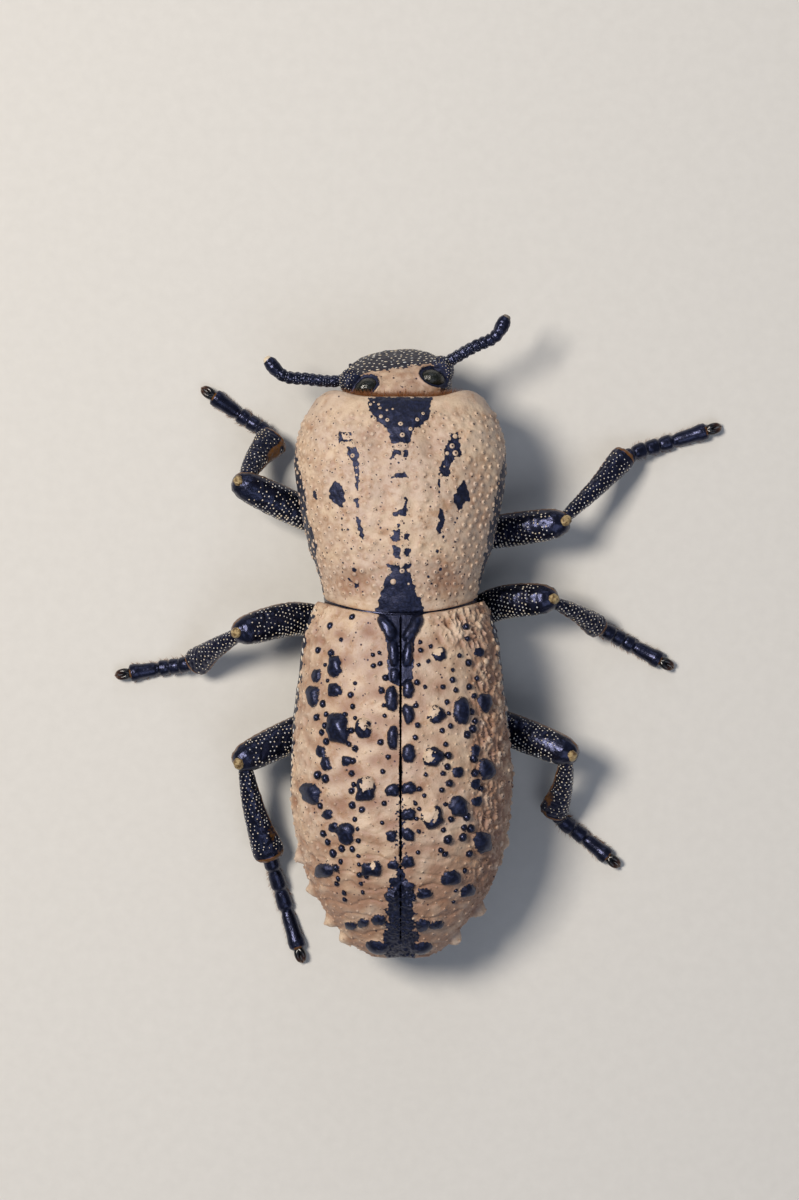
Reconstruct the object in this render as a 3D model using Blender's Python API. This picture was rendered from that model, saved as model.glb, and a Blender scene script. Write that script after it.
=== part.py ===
"""Zopherus chilensis, an ironclad beetle: a still, life-size display model.

The scene is in metres. Sizes below are in millimetres and are scaled as each mesh is made.
+Z is up, +Y is the way the head points and +X is the animal's right. The body's midline is x = 0
while a piece is shaped; STANCE then moves every piece, so that the origin lies on the floor under
the middle of the box that legs, feelers and body fill.
"""

import math
from collections import namedtuple

import bmesh
import bpy
import numpy as np
from mathutils import Matrix, Vector

MM = 0.001
STANCE = Vector((-1.1, 0.0, 0.0))
GAP = 0.3
HALF_GAP = GAP / 2
BODY_AROUND = 32
HIND_RINGS = 24
FORE_RINGS = 12
HEAD_AROUND = 24
LIMB_AROUND = 10
FOOT_AROUND = 8
CLAW_AROUND = 6
SHARP_EDGE = math.radians(40)
RIGHT = Vector((1, 0, 0))
UP = Vector((0, 0, 1))

# Colours are linear RGB with roughness: the black cuticle, its waxy tan crust and the eye.
BLACK_CUTICLE = ((0.010, 0.012, 0.022), 0.35)
TAN_CRUST = ((0.54, 0.34, 0.20), 0.75)
COMPOUND_EYE = ((0.018, 0.020, 0.016), 0.22)

# Body outline, from rear to front: place along the body, half width, top, margin and underside.
HIND_BODY = (
    (-20.75, 1.9, 5.7, 4.9, 4.25),
    (-20.2, 2.8, 6.9, 5.0, 3.95),
    (-19.0, 3.9, 8.4, 5.2, 3.65),
    (-17.6, 4.95, 9.7, 5.4, 3.45),
    (-15.6, 6.0, 10.9, 5.6, 3.3),
    (-13.0, 6.75, 11.8, 5.8, 3.2),
    (-9.5, 7.2, 12.3, 6.0, 3.1),
    (-6.0, 7.1, 12.3, 6.1, 3.1),
    (-2.5, 6.7, 12.0, 6.2, 3.15),
    (0.3, 6.15, 11.6, 6.3, 3.2),
    (1.7, 5.4, 11.2, 6.4, 3.3),
)
FORE_BODY = (
    (2.0, 5.0, 11.0, 6.6, 3.35),
    (3.6, 5.3, 11.4, 6.6, 3.25),
    (6.0, 5.95, 11.7, 6.6, 3.1),
    (9.0, 6.6, 11.8, 6.7, 3.1),
    (11.6, 6.9, 11.5, 6.8, 3.3),
    (13.5, 6.65, 11.0, 6.9, 3.6),
    (14.9, 6.05, 10.4, 6.9, 4.0),
    (15.6, 5.5, 9.9, 6.9, 4.3),
)
BODY_POWER = 2.25
REAR_BOW = 0.9
REAR_BOW_REACH = 4.0
TIP_POINT = 0.15
# Rings crowd towards the steep tip by this power.
TIP_CROWDING = 1.25

# The front of the prothorax: its rim, and the socket that takes the neck.
RIM = ((15.85, 4.7, 9.6, 6.9, 4.7), (15.7, 3.9, 9.25, 6.9, 4.9), (14.2, 3.3, 8.9, 6.9, 5.0))
SOCKET_FLOOR = Vector((0, 14.2, 6.9))
CORNER_REACH = 0.5
CORNER_AT = 4.4
CORNER_SPREAD = 1.3
CORNER_START = 14.4
CORNER_RUN = 1.2

# Hip sockets: low domes on the underside, each a little inward of the hip, its centre above it.
COXA_RADII = (1.45, 1.15, 1.15)
COXA_INWARD = 0.45
COXA_ABOVE = 0.5

# The hind body is parted into wing cases above, and metathorax and abdomen below.
CASE_EDGE_FRONT = Vector((0, 2.0, 5.4))
CASE_EDGE_REAR = Vector((0, -20.4, 4.75))
WAIST_Y = -6.4

# Tubercles of the wing cases: distance out from the suture, place along the body, width and length.
TUBERCLES = {
    "left": (
        (0.9, 0.8, 1.0, 1.6), (0.65, -0.6, 0.6, 1.4), (0.5, -1.7, 0.6, 0.8), (0.55, -3.7, 0.8, 1.6),
        (0.5, -6.2, 0.7, 1.5), (0.5, -9.6, 0.8, 0.9), (0.6, -12.5, 0.7, 0.7), (0.5, -14.4, 0.7, 0.6),
        (0.6, -16.4, 0.8, 0.8), (2.4, -5.6, 1.0, 1.2), (2.2, -9.5, 1.2, 1.4), (1.8, -14.6, 1.2, 0.9),
        (1.4, -17.9, 0.9, 0.7), (4.2, -1.6, 0.9, 1.4), (4.2, -3.1, 0.9, 0.9), (4.0, -5.6, 1.3, 2.0),
        (3.5, -7.7, 0.6, 0.7), (3.5, -12.3, 1.1, 1.4), (2.4, -18.1, 0.7, 0.6), (5.4, -2.2, 0.6, 0.8),
        (5.6, -3.5, 0.8, 1.3), (5.1, -7.1, 0.7, 0.7), (4.8, -7.9, 0.6, 1.0), (5.7, -9.8, 1.2, 1.4),
        (4.7, -11.1, 0.6, 0.7), (4.3, -12.0, 0.6, 0.7), (4.9, -14.7, 1.1, 1.0), (3.2, -18.3, 0.7, 0.6),
    ),
    "right": (
        (0.8, 0.9, 1.0, 1.6), (0.55, -0.7, 0.6, 1.4), (0.5, -3.1, 0.7, 1.3), (0.5, -4.6, 0.7, 1.3),
        (0.5, -7.2, 0.8, 1.3), (0.5, -9.4, 0.9, 0.8), (0.5, -11.1, 0.9, 0.8), (0.5, -12.4, 0.8, 0.8),
        (0.5, -14.2, 0.9, 0.7), (0.5, -15.7, 0.7, 0.6), (2.5, -0.8, 0.9, 0.7), (2.3, -4.7, 1.0, 0.9),
        (2.1, -7.4, 1.1, 1.2), (2.0, -11.3, 1.2, 1.2), (1.5, -16.2, 0.9, 0.7), (1.4, -18.2, 0.9, 0.8),
        (3.9, -4.5, 1.0, 1.8), (3.7, -8.4, 0.7, 0.7), (3.7, -10.6, 1.1, 1.4), (3.2, -15.2, 1.2, 1.0),
        (2.3, -18.2, 0.9, 0.6), (5.0, -0.7, 0.6, 0.6), (5.4, -3.9, 0.8, 1.3), (4.8, -7.0, 0.6, 0.7),
        (5.5, -8.2, 0.9, 1.5), (4.8, -9.2, 0.7, 0.6), (4.9, -10.3, 0.6, 0.7), (5.2, -12.9, 1.1, 1.4),
        (4.3, -16.0, 1.0, 0.8),
    ),
}
TUBERCLE_RISE = 0.42
LARGE_TUBERCLE = 0.75
# How the back's slope is measured: as far out as this share of its half width, over this step.
SIDE_LIMIT = 0.98
SLOPE_STEP = 0.05
# Knobs that stand out of the hind margin: place along the body and radius.
MARGIN_KNOBS = {
    "left": ((-14.0, 0.42), (-16.2, 0.4), (-18.2, 0.42), (-19.4, 0.42)),
    "right": ((-13.2, 0.36), (-17.5, 0.44), (-19.4, 0.42)),
}
KNOB_ABOVE_MARGIN = 0.5
KNOB_SUNK = 0.25
# The nodule over the tip of each wing case: how far out, place along the body, height and radius.
TIP_NODULES = {"left": (1.5, -19.9, 7.0, 0.8), "right": (1.35, -19.95, 7.0, 0.75)}
NODULE_STRETCH = (1.0, 0.8, 0.7)

# The head, shaped straight, then rolled and turned a little to the animal's left. Each row: place forward,
# height, nod in degrees, half width, rise of the face above that centre and drop below it.
HEAD = (
    (14.55, 6.9, 0, 2.5, 1.45, 1.5),
    (15.3, 6.9, -6, 3.0, 1.85, 1.75),
    (16.0, 6.6, -20, 3.45, 2.05, 1.85),
    (16.7, 6.1, -32, 3.6, 1.95, 1.8),
    (17.4, 5.6, -40, 3.5, 1.6, 1.6),
    (18.05, 5.1, -44, 3.05, 1.2, 1.3),
    (18.6, 4.7, -48, 2.25, 0.75, 0.95),
)
NECK_END = Vector((0, 14.5, 6.9))
MOUTH_END = Vector((0, 18.95, 4.4))
HEAD_POWER = 2.3
HEAD_POSE = Matrix.Rotation(math.radians(8), 3, "Z") @ Matrix.Rotation(math.radians(6), 3, "Y")
NECK_PIVOT = Vector((0, 15.6, 6.9))
EYE_AT = Vector((2.1, 16.75, 7.55))
EYE_RADII = (0.9, 0.68, 0.9)
EYE_TURN = (math.radians(-20), math.radians(28), math.radians(-18))
BROW_AT = Vector((2.95, 17.35, 6.9))
BROW_RADII = (0.85, 0.95, 0.75)

LABRUM_AT = Vector((0, 18.55, 4.5))
LABRUM_RADII = (1.45, 0.5, 0.4)
LABRUM_NOD = math.radians(-35)

# Mouthparts under the front of the head: the line of each from root to tip, and half thicknesses.
MANDIBLE = ((0.75, 18.1, 3.95), (0.775, 18.55, 3.85), (0.3, 19.0, 3.75))
MANDIBLE_HALF = 0.36
PALP = ((1.5, 17.4, 3.9), (2.3, 17.9, 3.2), (2.5, 18.7, 2.75))
PALP_HALF = 0.26
MOUTHPART_TIP = 0.12
MOUTHPART_STEPS = 5

# Feelers: the line of each from root to tip, in the body's own frame.
FEELERS = {
    "left": (
        (-3.55, 17.1, 6.75), (-4.3, 17.0, 6.75), (-6.1, 17.15, 6.6), (-7.7, 17.4, 6.5), (-8.75, 18.45, 6.5),
    ),
    "right": (
        (2.75, 18.05, 6.55), (3.4, 18.45, 6.6), (4.8, 19.25, 6.6), (6.2, 19.95, 6.5), (6.95, 21.2, 6.5),
    ),
}
FEELER_BEADS = 9
FEELER_CLUB_START = 0.78
FEELER_BEAD = 0.38
FEELER_BEAD_GROWTH = 0.05
FEELER_BEAD_PEAK = 0.55
FEELER_NECK = 0.3
# The club, from its neck to its blunt tip: share of the feeler, half width and half depth.
FEELER_CLUB = ((0.78, 0.34, 0.34), (0.87, 0.47, 0.47), (0.96, 0.3995, 0.376), (1.0, 0.235, 0.2115))

# Legs: hip, knee, ankle and the end of the foot, the joints that foot has, how far forward the middle
# of the femur bows, and how broad the tibia looks from above.
HIP_Z = 2.5
TOE_Z = 0.42
Leg = namedtuple("Leg", "hip knee ankle toe foot_joints bow shin")
LEGS = {
    "fore_left": Leg(
        (-2.6, 6.7, HIP_Z), (-10.6, 10.4, 5.0), (-8.45, 13.45, 1.4), (-12.5, 16.3, TOE_Z), 5, 0, 1.05
    ),
    "fore_right": Leg(
        (2.6, 6.7, HIP_Z), (10.7, 7.8, 4.4), (15.0, 12.3, 1.4), (20.5, 14.0, TOE_Z), 5, 0, 0.8
    ),
    "mid_left": Leg(
        (-3.0, 0.7, HIP_Z), (-10.6, 0.6, 5.2), (-13.7, -1.5, 1.4), (-18.1, -2.2, TOE_Z), 5, 0.8, 0.9
    ),
    "mid_right": Leg(
        (3.0, 0.7, HIP_Z), (9.9, 2.8, 5.0), (13.2, 0.9, 1.4), (17.4, -1.4, TOE_Z), 5, 0.7, 0.75
    ),
    "hind_left": Leg(
        (-3.4, -4.4, HIP_Z), (-10.6, -7.9, 4.4), (-8.7, -14.4, 1.4), (-6.8, -20.6, TOE_Z), 4, 0, 1.0
    ),
    "hind_right": Leg(
        (3.4, -4.4, HIP_Z), (11.2, -7.4, 5.2), (10.2, -11.5, 1.4), (13.9, -14.5, TOE_Z), 4, 0, 0.9
    ),
}
# Share along the limb, half width and half depth.
FEMUR_GIRTH = (
    (0.0, 0.3, 0.3), (0.04, 0.62, 0.6), (0.14, 0.84, 0.74), (0.4, 1.06, 0.9), (0.75, 1.1, 0.98),
    (0.92, 0.98, 0.9), (1.0, 0.68, 0.64),
)
FEMUR_SAG = 0.35
FEMUR_STEPS = 9
FEMUR_POWER = 2.3
TIBIA_GIRTH = (
    (0.0, 0.32, 0.28), (0.08, 0.44, 0.42), (0.3, 0.58, 0.52), (0.65, 0.8, 0.62), (0.88, 1.02, 0.68),
    (0.97, 0.94, 0.63), (1.0, 0.76, 0.52),
)
TIBIA_SOCKET = 0.3
TIBIA_BULGE = 0.25
TIBIA_BULGE_SHARE = 0.45
TIBIA_STEPS = 8
TIBIA_POWER = 2.2
FOOT_ROOT = 0.55
FOOT_THIN = 0.36
FOOT_THICK = 0.56
FOOT_BEAD_PEAK = 0.72
FOOT_BEAD_DEPTH = 0.532
# The foot's last joint: share of that joint, half width and half depth.
FOOT_LAST_SHARE = 0.38
FOOT_LAST = ((0.0, 0.36, 0.36), (0.12 / 0.38, 0.44, 0.44), (0.85, 0.6, 0.504), (1.0, 0.36, 0.36))
FOOT_LANDING = 0.45
FOOT_SLOPE = 0.3
CLAW_LENGTH = 1.15
CLAW_SPREAD = math.radians(32)
CLAW_GIRTH = ((0.0, 0.26, 0.26), (0.5, 0.195, 0.195), (1.0, 0.07, 0.07))
CLAW_SUNK = 0.25
CLAW_ARCH = 0.12
CLAW_REACH = 0.6
CLAW_HOOK = 0.5
CLAW_STEPS = 4
CLAW_DROP = 0.25
CLAW_SWING = math.radians(38)

Station = namedtuple("Station", "centre side up half rise drop")
Form = namedtuple("Form", "start stations end power")

# A limb's ends are rounded by these shares of its half width there.
ROOT_ROUNDING = 0.5
END_ROUNDING = 0.4
SHARE_STEP = 0.01


def spline(knots, place):
    """Smooth values at a place, through knots whose first number is their place, in rising order."""
    rows = np.array(knots, float)
    places, values = rows[:, 0], rows[:, 1:]
    slopes = np.gradient(values, places, axis=0)
    i = int(np.clip(np.searchsorted(places, place) - 1, 0, len(places) - 2))
    span = places[i + 1] - places[i]
    t = (place - places[i]) / span
    near = (1 + 2 * t) * (1 - t) ** 2 * values[i] + t * (1 - t) ** 2 * span * slopes[i]
    far = t * t * (3 - 2 * t) * values[i + 1] + t * t * (t - 1) * span * slopes[i + 1]
    return near + far


def rounded(cosine, power):
    """A superellipse's coordinate from its cosine or sine."""
    return math.copysign(abs(cosine) ** (2 / power), cosine)


def body_station(y, half, top, margin, under):
    return Station(Vector((0, y, margin)), RIGHT, UP, half, top - margin, margin - under)


def grown(form, by):
    """The same form, larger by a gap all round."""
    along = (form.end - form.start).normalized()
    stations = [s._replace(half=s.half + by, rise=s.rise + by, drop=s.drop + by) for s in form.stations]
    return Form(form.start - along * by, stations, form.end + along * by, form.power)


def skin_of(form, around, bend=None):
    """A closed mesh in millimetres: a sphere whose rings are laid on the form's stations."""
    bm = bmesh.new()
    rings = len(form.stations) + 1
    bmesh.ops.create_uvsphere(bm, u_segments=around, v_segments=rings, radius=1)
    for v in bm.verts:
        ring = round(math.acos(max(-1, min(1, v.co.z))) / math.pi * rings)
        if ring == 0 or ring == rings:
            v.co = form.start if ring == 0 else form.end
            continue
        station = form.stations[ring - 1]
        flat = Vector((v.co.x, v.co.y)).normalized()
        reach = station.rise if flat.y > 0 else station.drop
        sideways = station.side * station.half * rounded(flat.x, form.power)
        v.co = station.centre + sideways + station.up * reach * rounded(flat.y, form.power)
    if bend:
        for v in bm.verts:
            v.co = bend(v.co)
    if bm.calc_volume(signed=True) < 0:
        bmesh.ops.reverse_faces(bm, faces=bm.faces)
    return bm


def ball(centre, radii, turn=Matrix.Identity(3), around=10, rings=6):
    """A closed ellipsoid in millimetres."""
    bm = bmesh.new()
    bmesh.ops.create_uvsphere(bm, u_segments=around, v_segments=rings, radius=1)
    matrix = Matrix.Translation(centre) @ turn.to_4x4() @ Matrix.Diagonal((*radii, 1))
    bmesh.ops.transform(bm, matrix=matrix, verts=bm.verts)
    return bm


def object_of(name, bm, collection):
    """A linked object whose mesh is the bmesh in metres, already in its stance."""
    bmesh.ops.translate(bm, vec=STANCE, verts=bm.verts)
    bmesh.ops.scale(bm, vec=(MM, MM, MM), verts=bm.verts)
    mesh = bpy.data.meshes.new(name)
    bm.to_mesh(mesh)
    bm.free()
    obj = bpy.data.objects.new(name, mesh)
    collection.objects.link(obj)
    return obj


def boolean(obj, pieces, operation):
    """Joins or cuts obj with closed meshes, applies the result and keeps its largest closed surface."""
    if not pieces:
        return obj
    helpers = bpy.data.collections.new(obj.name + "_helpers")
    bpy.context.scene.collection.children.link(helpers)
    for i, bm in enumerate(pieces):
        object_of(f"{obj.name}_helper_{i}", bm, helpers)
    modifier = obj.modifiers.new(operation.title(), "BOOLEAN")
    modifier.operation = operation
    modifier.solver = "EXACT"
    modifier.operand_type = "COLLECTION"
    modifier.collection = helpers
    modifier.use_self = operation == "UNION"
    graph = bpy.context.evaluated_depsgraph_get()
    made = bpy.data.meshes.new_from_object(obj.evaluated_get(graph))
    obj.modifiers.clear()
    old = obj.data
    obj.data = made
    bpy.data.meshes.remove(old)
    for helper in list(helpers.objects):
        bpy.data.objects.remove(helper)
    bpy.data.collections.remove(helpers)
    keep_largest(obj)
    return obj


def keep_largest(obj):
    """Drops every loose scrap and sealed hollow, so that the node is one closed surface."""
    bm = bmesh.new()
    bm.from_mesh(obj.data)
    unseen = set(bm.verts)
    groups = []
    while unseen:
        group, edge_of_group = set(), [unseen.pop()]
        while edge_of_group:
            v = edge_of_group.pop()
            group.add(v)
            for e in v.link_edges:
                other = e.other_vert(v)
                if other in unseen:
                    unseen.remove(other)
                    edge_of_group.append(other)
        groups.append(group)
    groups.sort(key=len, reverse=True)
    loose = [v for group in groups[1:] for v in group]
    bmesh.ops.delete(bm, geom=loose, context="VERTS")
    bm.to_mesh(obj.data)
    bm.free()


def sliced(source, name, collection, planes):
    """A copy of a closed object, cut by planes (point and normal, in mm) whose far side is dropped."""
    bm = bmesh.new()
    bm.from_mesh(source.data)
    for point, normal in planes:
        place = (Vector(point) + STANCE) * MM
        whole = bm.verts[:] + bm.edges[:] + bm.faces[:]
        bmesh.ops.bisect_plane(bm, geom=whole, plane_co=place, plane_no=normal, clear_outer=True)
        rim = [e for e in bm.edges if e.is_boundary]
        bmesh.ops.holes_fill(bm, edges=rim, sides=0)
    bmesh.ops.recalc_face_normals(bm, faces=bm.faces)
    mesh = bpy.data.meshes.new(name)
    bm.to_mesh(mesh)
    bm.free()
    obj = bpy.data.objects.new(name, mesh)
    collection.objects.link(obj)
    keep_largest(obj)
    return obj


def finish(obj, look):
    """Gives a node its own material."""
    colour, roughness = look
    material = bpy.data.materials.new(obj.name)
    material.use_nodes = True
    shader = material.node_tree.nodes["Principled BSDF"]
    shader.inputs["Base Color"].default_value = (*colour, 1)
    shader.inputs["Roughness"].default_value = roughness
    shader.inputs["Metallic"].default_value = 0
    obj.data.materials.clear()
    obj.data.materials.append(material)
    obj.data.shade_smooth()
    obj.data.set_sharp_from_angle(angle=SHARP_EDGE)


def bowed(co, edge_y, half):
    """The joint between prothorax and wing cases runs further forward at the sides."""
    fade = max(0.0, 1 - abs(co.y - edge_y) / REAR_BOW_REACH)
    return co + Vector((0, REAR_BOW * fade * (co.x / half) ** 2, 0))


def bend_hind(co):
    return bowed(co, HIND_BODY[-1][0], HIND_BODY[-1][1])


def bend_fore(co):
    """Bows the hind edge, and draws the front corners forward beside the head."""
    co = bowed(co, FORE_BODY[0][0], FORE_BODY[0][1])
    front = max(0.0, min(1.0, (co.y - CORNER_START) / CORNER_RUN))
    corner = math.exp(-(((abs(co.x) - CORNER_AT) / CORNER_SPREAD) ** 2))
    return co + Vector((0, CORNER_REACH * front * corner, 0))


def hind_form():
    first, last = HIND_BODY[0][0], HIND_BODY[-1][0]
    stations = []
    for i in range(HIND_RINGS + 1):
        y = first + (last - first) * (i / HIND_RINGS) ** TIP_CROWDING
        stations.append(body_station(y, *spline(HIND_BODY, y)))
    rear = Vector((0, first - TIP_POINT, HIND_BODY[0][3]))
    front = Vector((0, last, HIND_BODY[-1][3]))
    return Form(rear, stations, front, BODY_POWER)


def fore_form():
    first, last = FORE_BODY[0][0], FORE_BODY[-1][0]
    places = [first + (last - first) * i / FORE_RINGS for i in range(FORE_RINGS + 1)]
    stations = [body_station(y, *spline(FORE_BODY, y)) for y in places]
    stations += [body_station(*row) for row in RIM]
    rear = Vector((0, first, FORE_BODY[0][3]))
    return Form(rear, stations, SOCKET_FLOOR, BODY_POWER)


def case_surface(x, y):
    """Point and outward normal of the wing cases above a place, before tubercles."""

    def height(x, y):
        half, top, margin, _ = spline(HIND_BODY, y)
        share = min(SIDE_LIMIT, abs(x) / half)
        return margin + (top - margin) * (1 - share**BODY_POWER) ** (1 / BODY_POWER)

    here = height(x, y)
    slope_x = (height(x + SLOPE_STEP, y) - height(x - SLOPE_STEP, y)) / (2 * SLOPE_STEP)
    slope_y = (height(x, y + SLOPE_STEP) - height(x, y - SLOPE_STEP)) / (2 * SLOPE_STEP)
    return Vector((x, y, here)), Vector((-slope_x, -slope_y, 1)).normalized()


def facing(normal, ahead=Vector((0, 1, 0))):
    """Rotation whose Z is the normal and whose Y lies as near to ahead as it can."""
    side = ahead.cross(normal).normalized()
    return Matrix((side, normal.cross(side), normal)).transposed()


def case_bumps(side):
    """Every tubercle, knob and nodule of one wing case, as closed ellipsoids sunk half way in."""
    sign = -1 if side == "left" else 1
    bumps = []
    for out, y, width, length in TUBERCLES[side]:
        point, normal = case_surface(sign * out, y)
        rise = TUBERCLE_RISE * (width + length) / 2
        around, rings = (8, 6) if width > LARGE_TUBERCLE else (6, 4)
        bumps.append(ball(point, (width / 2, length / 2, rise), facing(normal), around, rings))
    for y, radius in MARGIN_KNOBS[side]:
        half, _, margin, _ = spline(HIND_BODY, y)
        centre = Vector((sign * (half - radius * KNOB_SUNK), y, margin + KNOB_ABOVE_MARGIN))
        bumps.append(ball(centre, (radius,) * 3, around=8, rings=4))
    out, y, z, radius = TIP_NODULES[side]
    radii = [radius * stretch for stretch in NODULE_STRETCH]
    bumps.append(ball(Vector((sign * out, y, z)), radii, around=8, rings=6))
    return bumps


def limb_form(path, girth, steps, power=2.0):
    """A round-ended limb along a smooth path, flat side up, its girth given by share of the path."""
    path = [Vector(p) for p in path]
    lengths = [0.0]
    for a, b in zip(path, path[1:]):
        lengths.append(lengths[-1] + (b - a).length)
    knots = [(length / lengths[-1], *p) for length, p in zip(lengths, path)]
    stations = []
    for i in range(steps + 1):
        share = girth[0][0] + (girth[-1][0] - girth[0][0]) * i / steps
        centre = Vector(spline(knots, share))
        ahead = Vector(spline(knots, share + SHARE_STEP)) - Vector(spline(knots, share - SHARE_STEP))
        side = ahead.cross(UP).normalized()
        half, depth = spline(girth, share)
        stations.append(Station(centre, side, side.cross(ahead).normalized(), half, depth, depth))
    start_dir = (stations[1].centre - stations[0].centre).normalized()
    end_dir = (stations[-1].centre - stations[-2].centre).normalized()
    start = stations[0].centre - start_dir * stations[0].half * ROOT_ROUNDING
    end = stations[-1].centre + end_dir * stations[-1].half * END_ROUNDING
    return Form(start, stations, end, power)


def femur_form(leg):
    hip, knee = Vector(leg.hip), Vector(leg.knee)
    middle = hip.lerp(knee, 0.5) + Vector((0, leg.bow, -FEMUR_SAG))
    return limb_form((hip, middle, knee), FEMUR_GIRTH, FEMUR_STEPS, FEMUR_POWER)


def tibia_form(leg):
    """The shin starts inside the end of the femur, which is cut back round it."""
    knee, ankle = Vector(leg.knee), Vector(leg.ankle)
    inward = (Vector(leg.hip) - knee).normalized()
    root = knee + inward * TIBIA_SOCKET
    bulge = root.lerp(ankle, TIBIA_BULGE_SHARE) - inward * TIBIA_BULGE
    girth = [(share, half * leg.shin, depth) for share, half, depth in TIBIA_GIRTH]
    return limb_form((root, bulge, ankle), girth, TIBIA_STEPS, TIBIA_POWER)


def foot_girth(joints):
    """Beads of the foot: each swells towards its far end, and the last is the longest."""
    short = (1 - FOOT_LAST_SHARE) / (joints - 1)
    rows = []
    for i in range(joints - 1):
        near = i * short
        rows.append((near, FOOT_THIN, FOOT_THIN))
        rows.append((near + short * FOOT_BEAD_PEAK, FOOT_THICK, FOOT_BEAD_DEPTH))
    for share, half, depth in FOOT_LAST:
        rows.append((1 - FOOT_LAST_SHARE * (1 - share), half, depth))
    return rows


def foot_form(leg):
    """The tarsus leaves the end of the shin, comes down to the floor and lies along it."""
    knee, ankle, toe = Vector(leg.knee), Vector(leg.ankle), Vector(leg.toe)
    root = ankle + (knee - ankle).normalized() * FOOT_ROOT
    landed = ankle.lerp(toe, FOOT_LANDING)
    landed.z = toe.z
    path = (root, ankle.lerp(landed, FOOT_SLOPE), landed, toe)
    steps = 3 * (leg.foot_joints + 1)
    return limb_form(path, foot_girth(leg.foot_joints), steps)


def claw_form(leg, sign):
    """A hooked claw: a circle's arc that leaves the foot and turns down to the floor."""
    toe = Vector(leg.toe)
    ahead = toe - Vector(leg.ankle)
    ahead.z = 0
    ahead.normalize()
    ahead = Matrix.Rotation(sign * CLAW_SPREAD, 3, "Z") @ ahead
    root = toe - ahead * CLAW_SUNK
    middle = root + ahead * CLAW_LENGTH * CLAW_REACH + UP * CLAW_ARCH
    hook = Matrix.Rotation(-sign * CLAW_SWING, 3, "Z") @ ahead
    tip = middle + hook * CLAW_LENGTH * CLAW_HOOK
    tip.z = CLAW_DROP
    return limb_form((root, middle, tip), CLAW_GIRTH, CLAW_STEPS)


def turned(co):
    """Rolls and turns a point with the head about the neck."""
    return NECK_PIVOT + HEAD_POSE @ (co - NECK_PIVOT)


def head_form():
    stations = []
    for y, z, nod, half, rise, drop in HEAD:
        up = Matrix.Rotation(math.radians(nod), 3, "X") @ UP
        stations.append(Station(Vector((0, y, z)), RIGHT, up, half, rise, drop))
    return Form(NECK_END, stations, MOUTH_END, HEAD_POWER)


def feeler_form(side):
    """Nine bead-like joints and a club."""
    span = FEELER_CLUB_START / FEELER_BEADS
    girth = []
    for i in range(FEELER_BEADS):
        size = FEELER_BEAD + FEELER_BEAD_GROWTH * i / FEELER_BEADS
        girth.append((span * i, FEELER_NECK, FEELER_NECK))
        girth.append((span * (i + FEELER_BEAD_PEAK), size, size))
    girth += FEELER_CLUB
    return limb_form(FEELERS[side], girth, 3 * (FEELER_BEADS + 1))


def mouthpart_form(points, thickness, sign):
    path = [turned(Vector((sign * x, y, z))) for x, y, z in points]
    girth = (
        (0.0, thickness, thickness),
        (0.6, thickness * 0.95, thickness * 0.9),
        (1.0, MOUTHPART_TIP, MOUTHPART_TIP),
    )
    return limb_form(path, girth, MOUTHPART_STEPS)


def brow_ball(sign, by=0.0):
    centre = turned(Vector((sign * BROW_AT.x, BROW_AT.y, BROW_AT.z)))
    return ball(centre, [r + by for r in BROW_RADII], around=12, rings=8)


def labrum_ball():
    nod = Matrix.Rotation(LABRUM_NOD, 3, "X")
    return ball(turned(LABRUM_AT), LABRUM_RADII, HEAD_POSE @ nod, 12, 6)


def coxa_balls(*names):
    """The domes that hold the hips of the named pairs of legs."""
    balls = []
    for name, leg in LEGS.items():
        if name.split("_")[0] in names:
            inward = Vector((-math.copysign(COXA_INWARD, leg.hip[0]), 0, COXA_ABOVE))
            balls.append(ball(Vector(leg.hip) + inward, COXA_RADII, around=10, rings=6))
    return balls


def eye_ball(sign, by=0.0):
    turn = Matrix.Rotation(sign * EYE_TURN[1], 3, "Y") @ Matrix.Rotation(EYE_TURN[0], 3, "X")
    turn = HEAD_POSE @ Matrix.Rotation(sign * EYE_TURN[2], 3, "Z") @ turn
    centre = turned(Vector((sign * EYE_AT.x, EYE_AT.y, EYE_AT.z)))
    return ball(centre, [r + by for r in EYE_RADII], turn, 14, 8)


def build_hind_body(collection):
    """Wing cases, metathorax and abdomen: shaped whole with every bump, then parted by thin cuts."""
    whole = object_of("hind_body", skin_of(hind_form(), BODY_AROUND, bend_hind), collection)
    bumps = case_bumps("left") + case_bumps("right")
    boolean(whole, bumps + coxa_balls("mid", "hind"), "UNION")
    edge = CASE_EDGE_FRONT - CASE_EDGE_REAR
    above = edge.cross(RIGHT).normalized()
    above = above if above.z > 0 else -above
    over, under = CASE_EDGE_REAR + above * HALF_GAP, CASE_EDGE_REAR - above * HALF_GAP
    ahead = Vector((0, 1, 0))
    parts = {}
    for side, sign in (("left", -1), ("right", 1)):
        suture = (Vector((sign * HALF_GAP, 0, 0)), RIGHT * -sign)
        parts["elytron_" + side] = sliced(whole, "elytron_" + side, collection, (suture, (over, -above)))
    waist_front = (Vector((0, WAIST_Y + HALF_GAP, 0)), -ahead)
    waist_rear = (Vector((0, WAIST_Y - HALF_GAP, 0)), ahead)
    parts["metathorax"] = sliced(whole, "metathorax", collection, ((under, above), waist_front))
    parts["abdomen"] = sliced(whole, "abdomen", collection, ((under, above), waist_rear))
    bpy.data.objects.remove(whole)
    return parts


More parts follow.
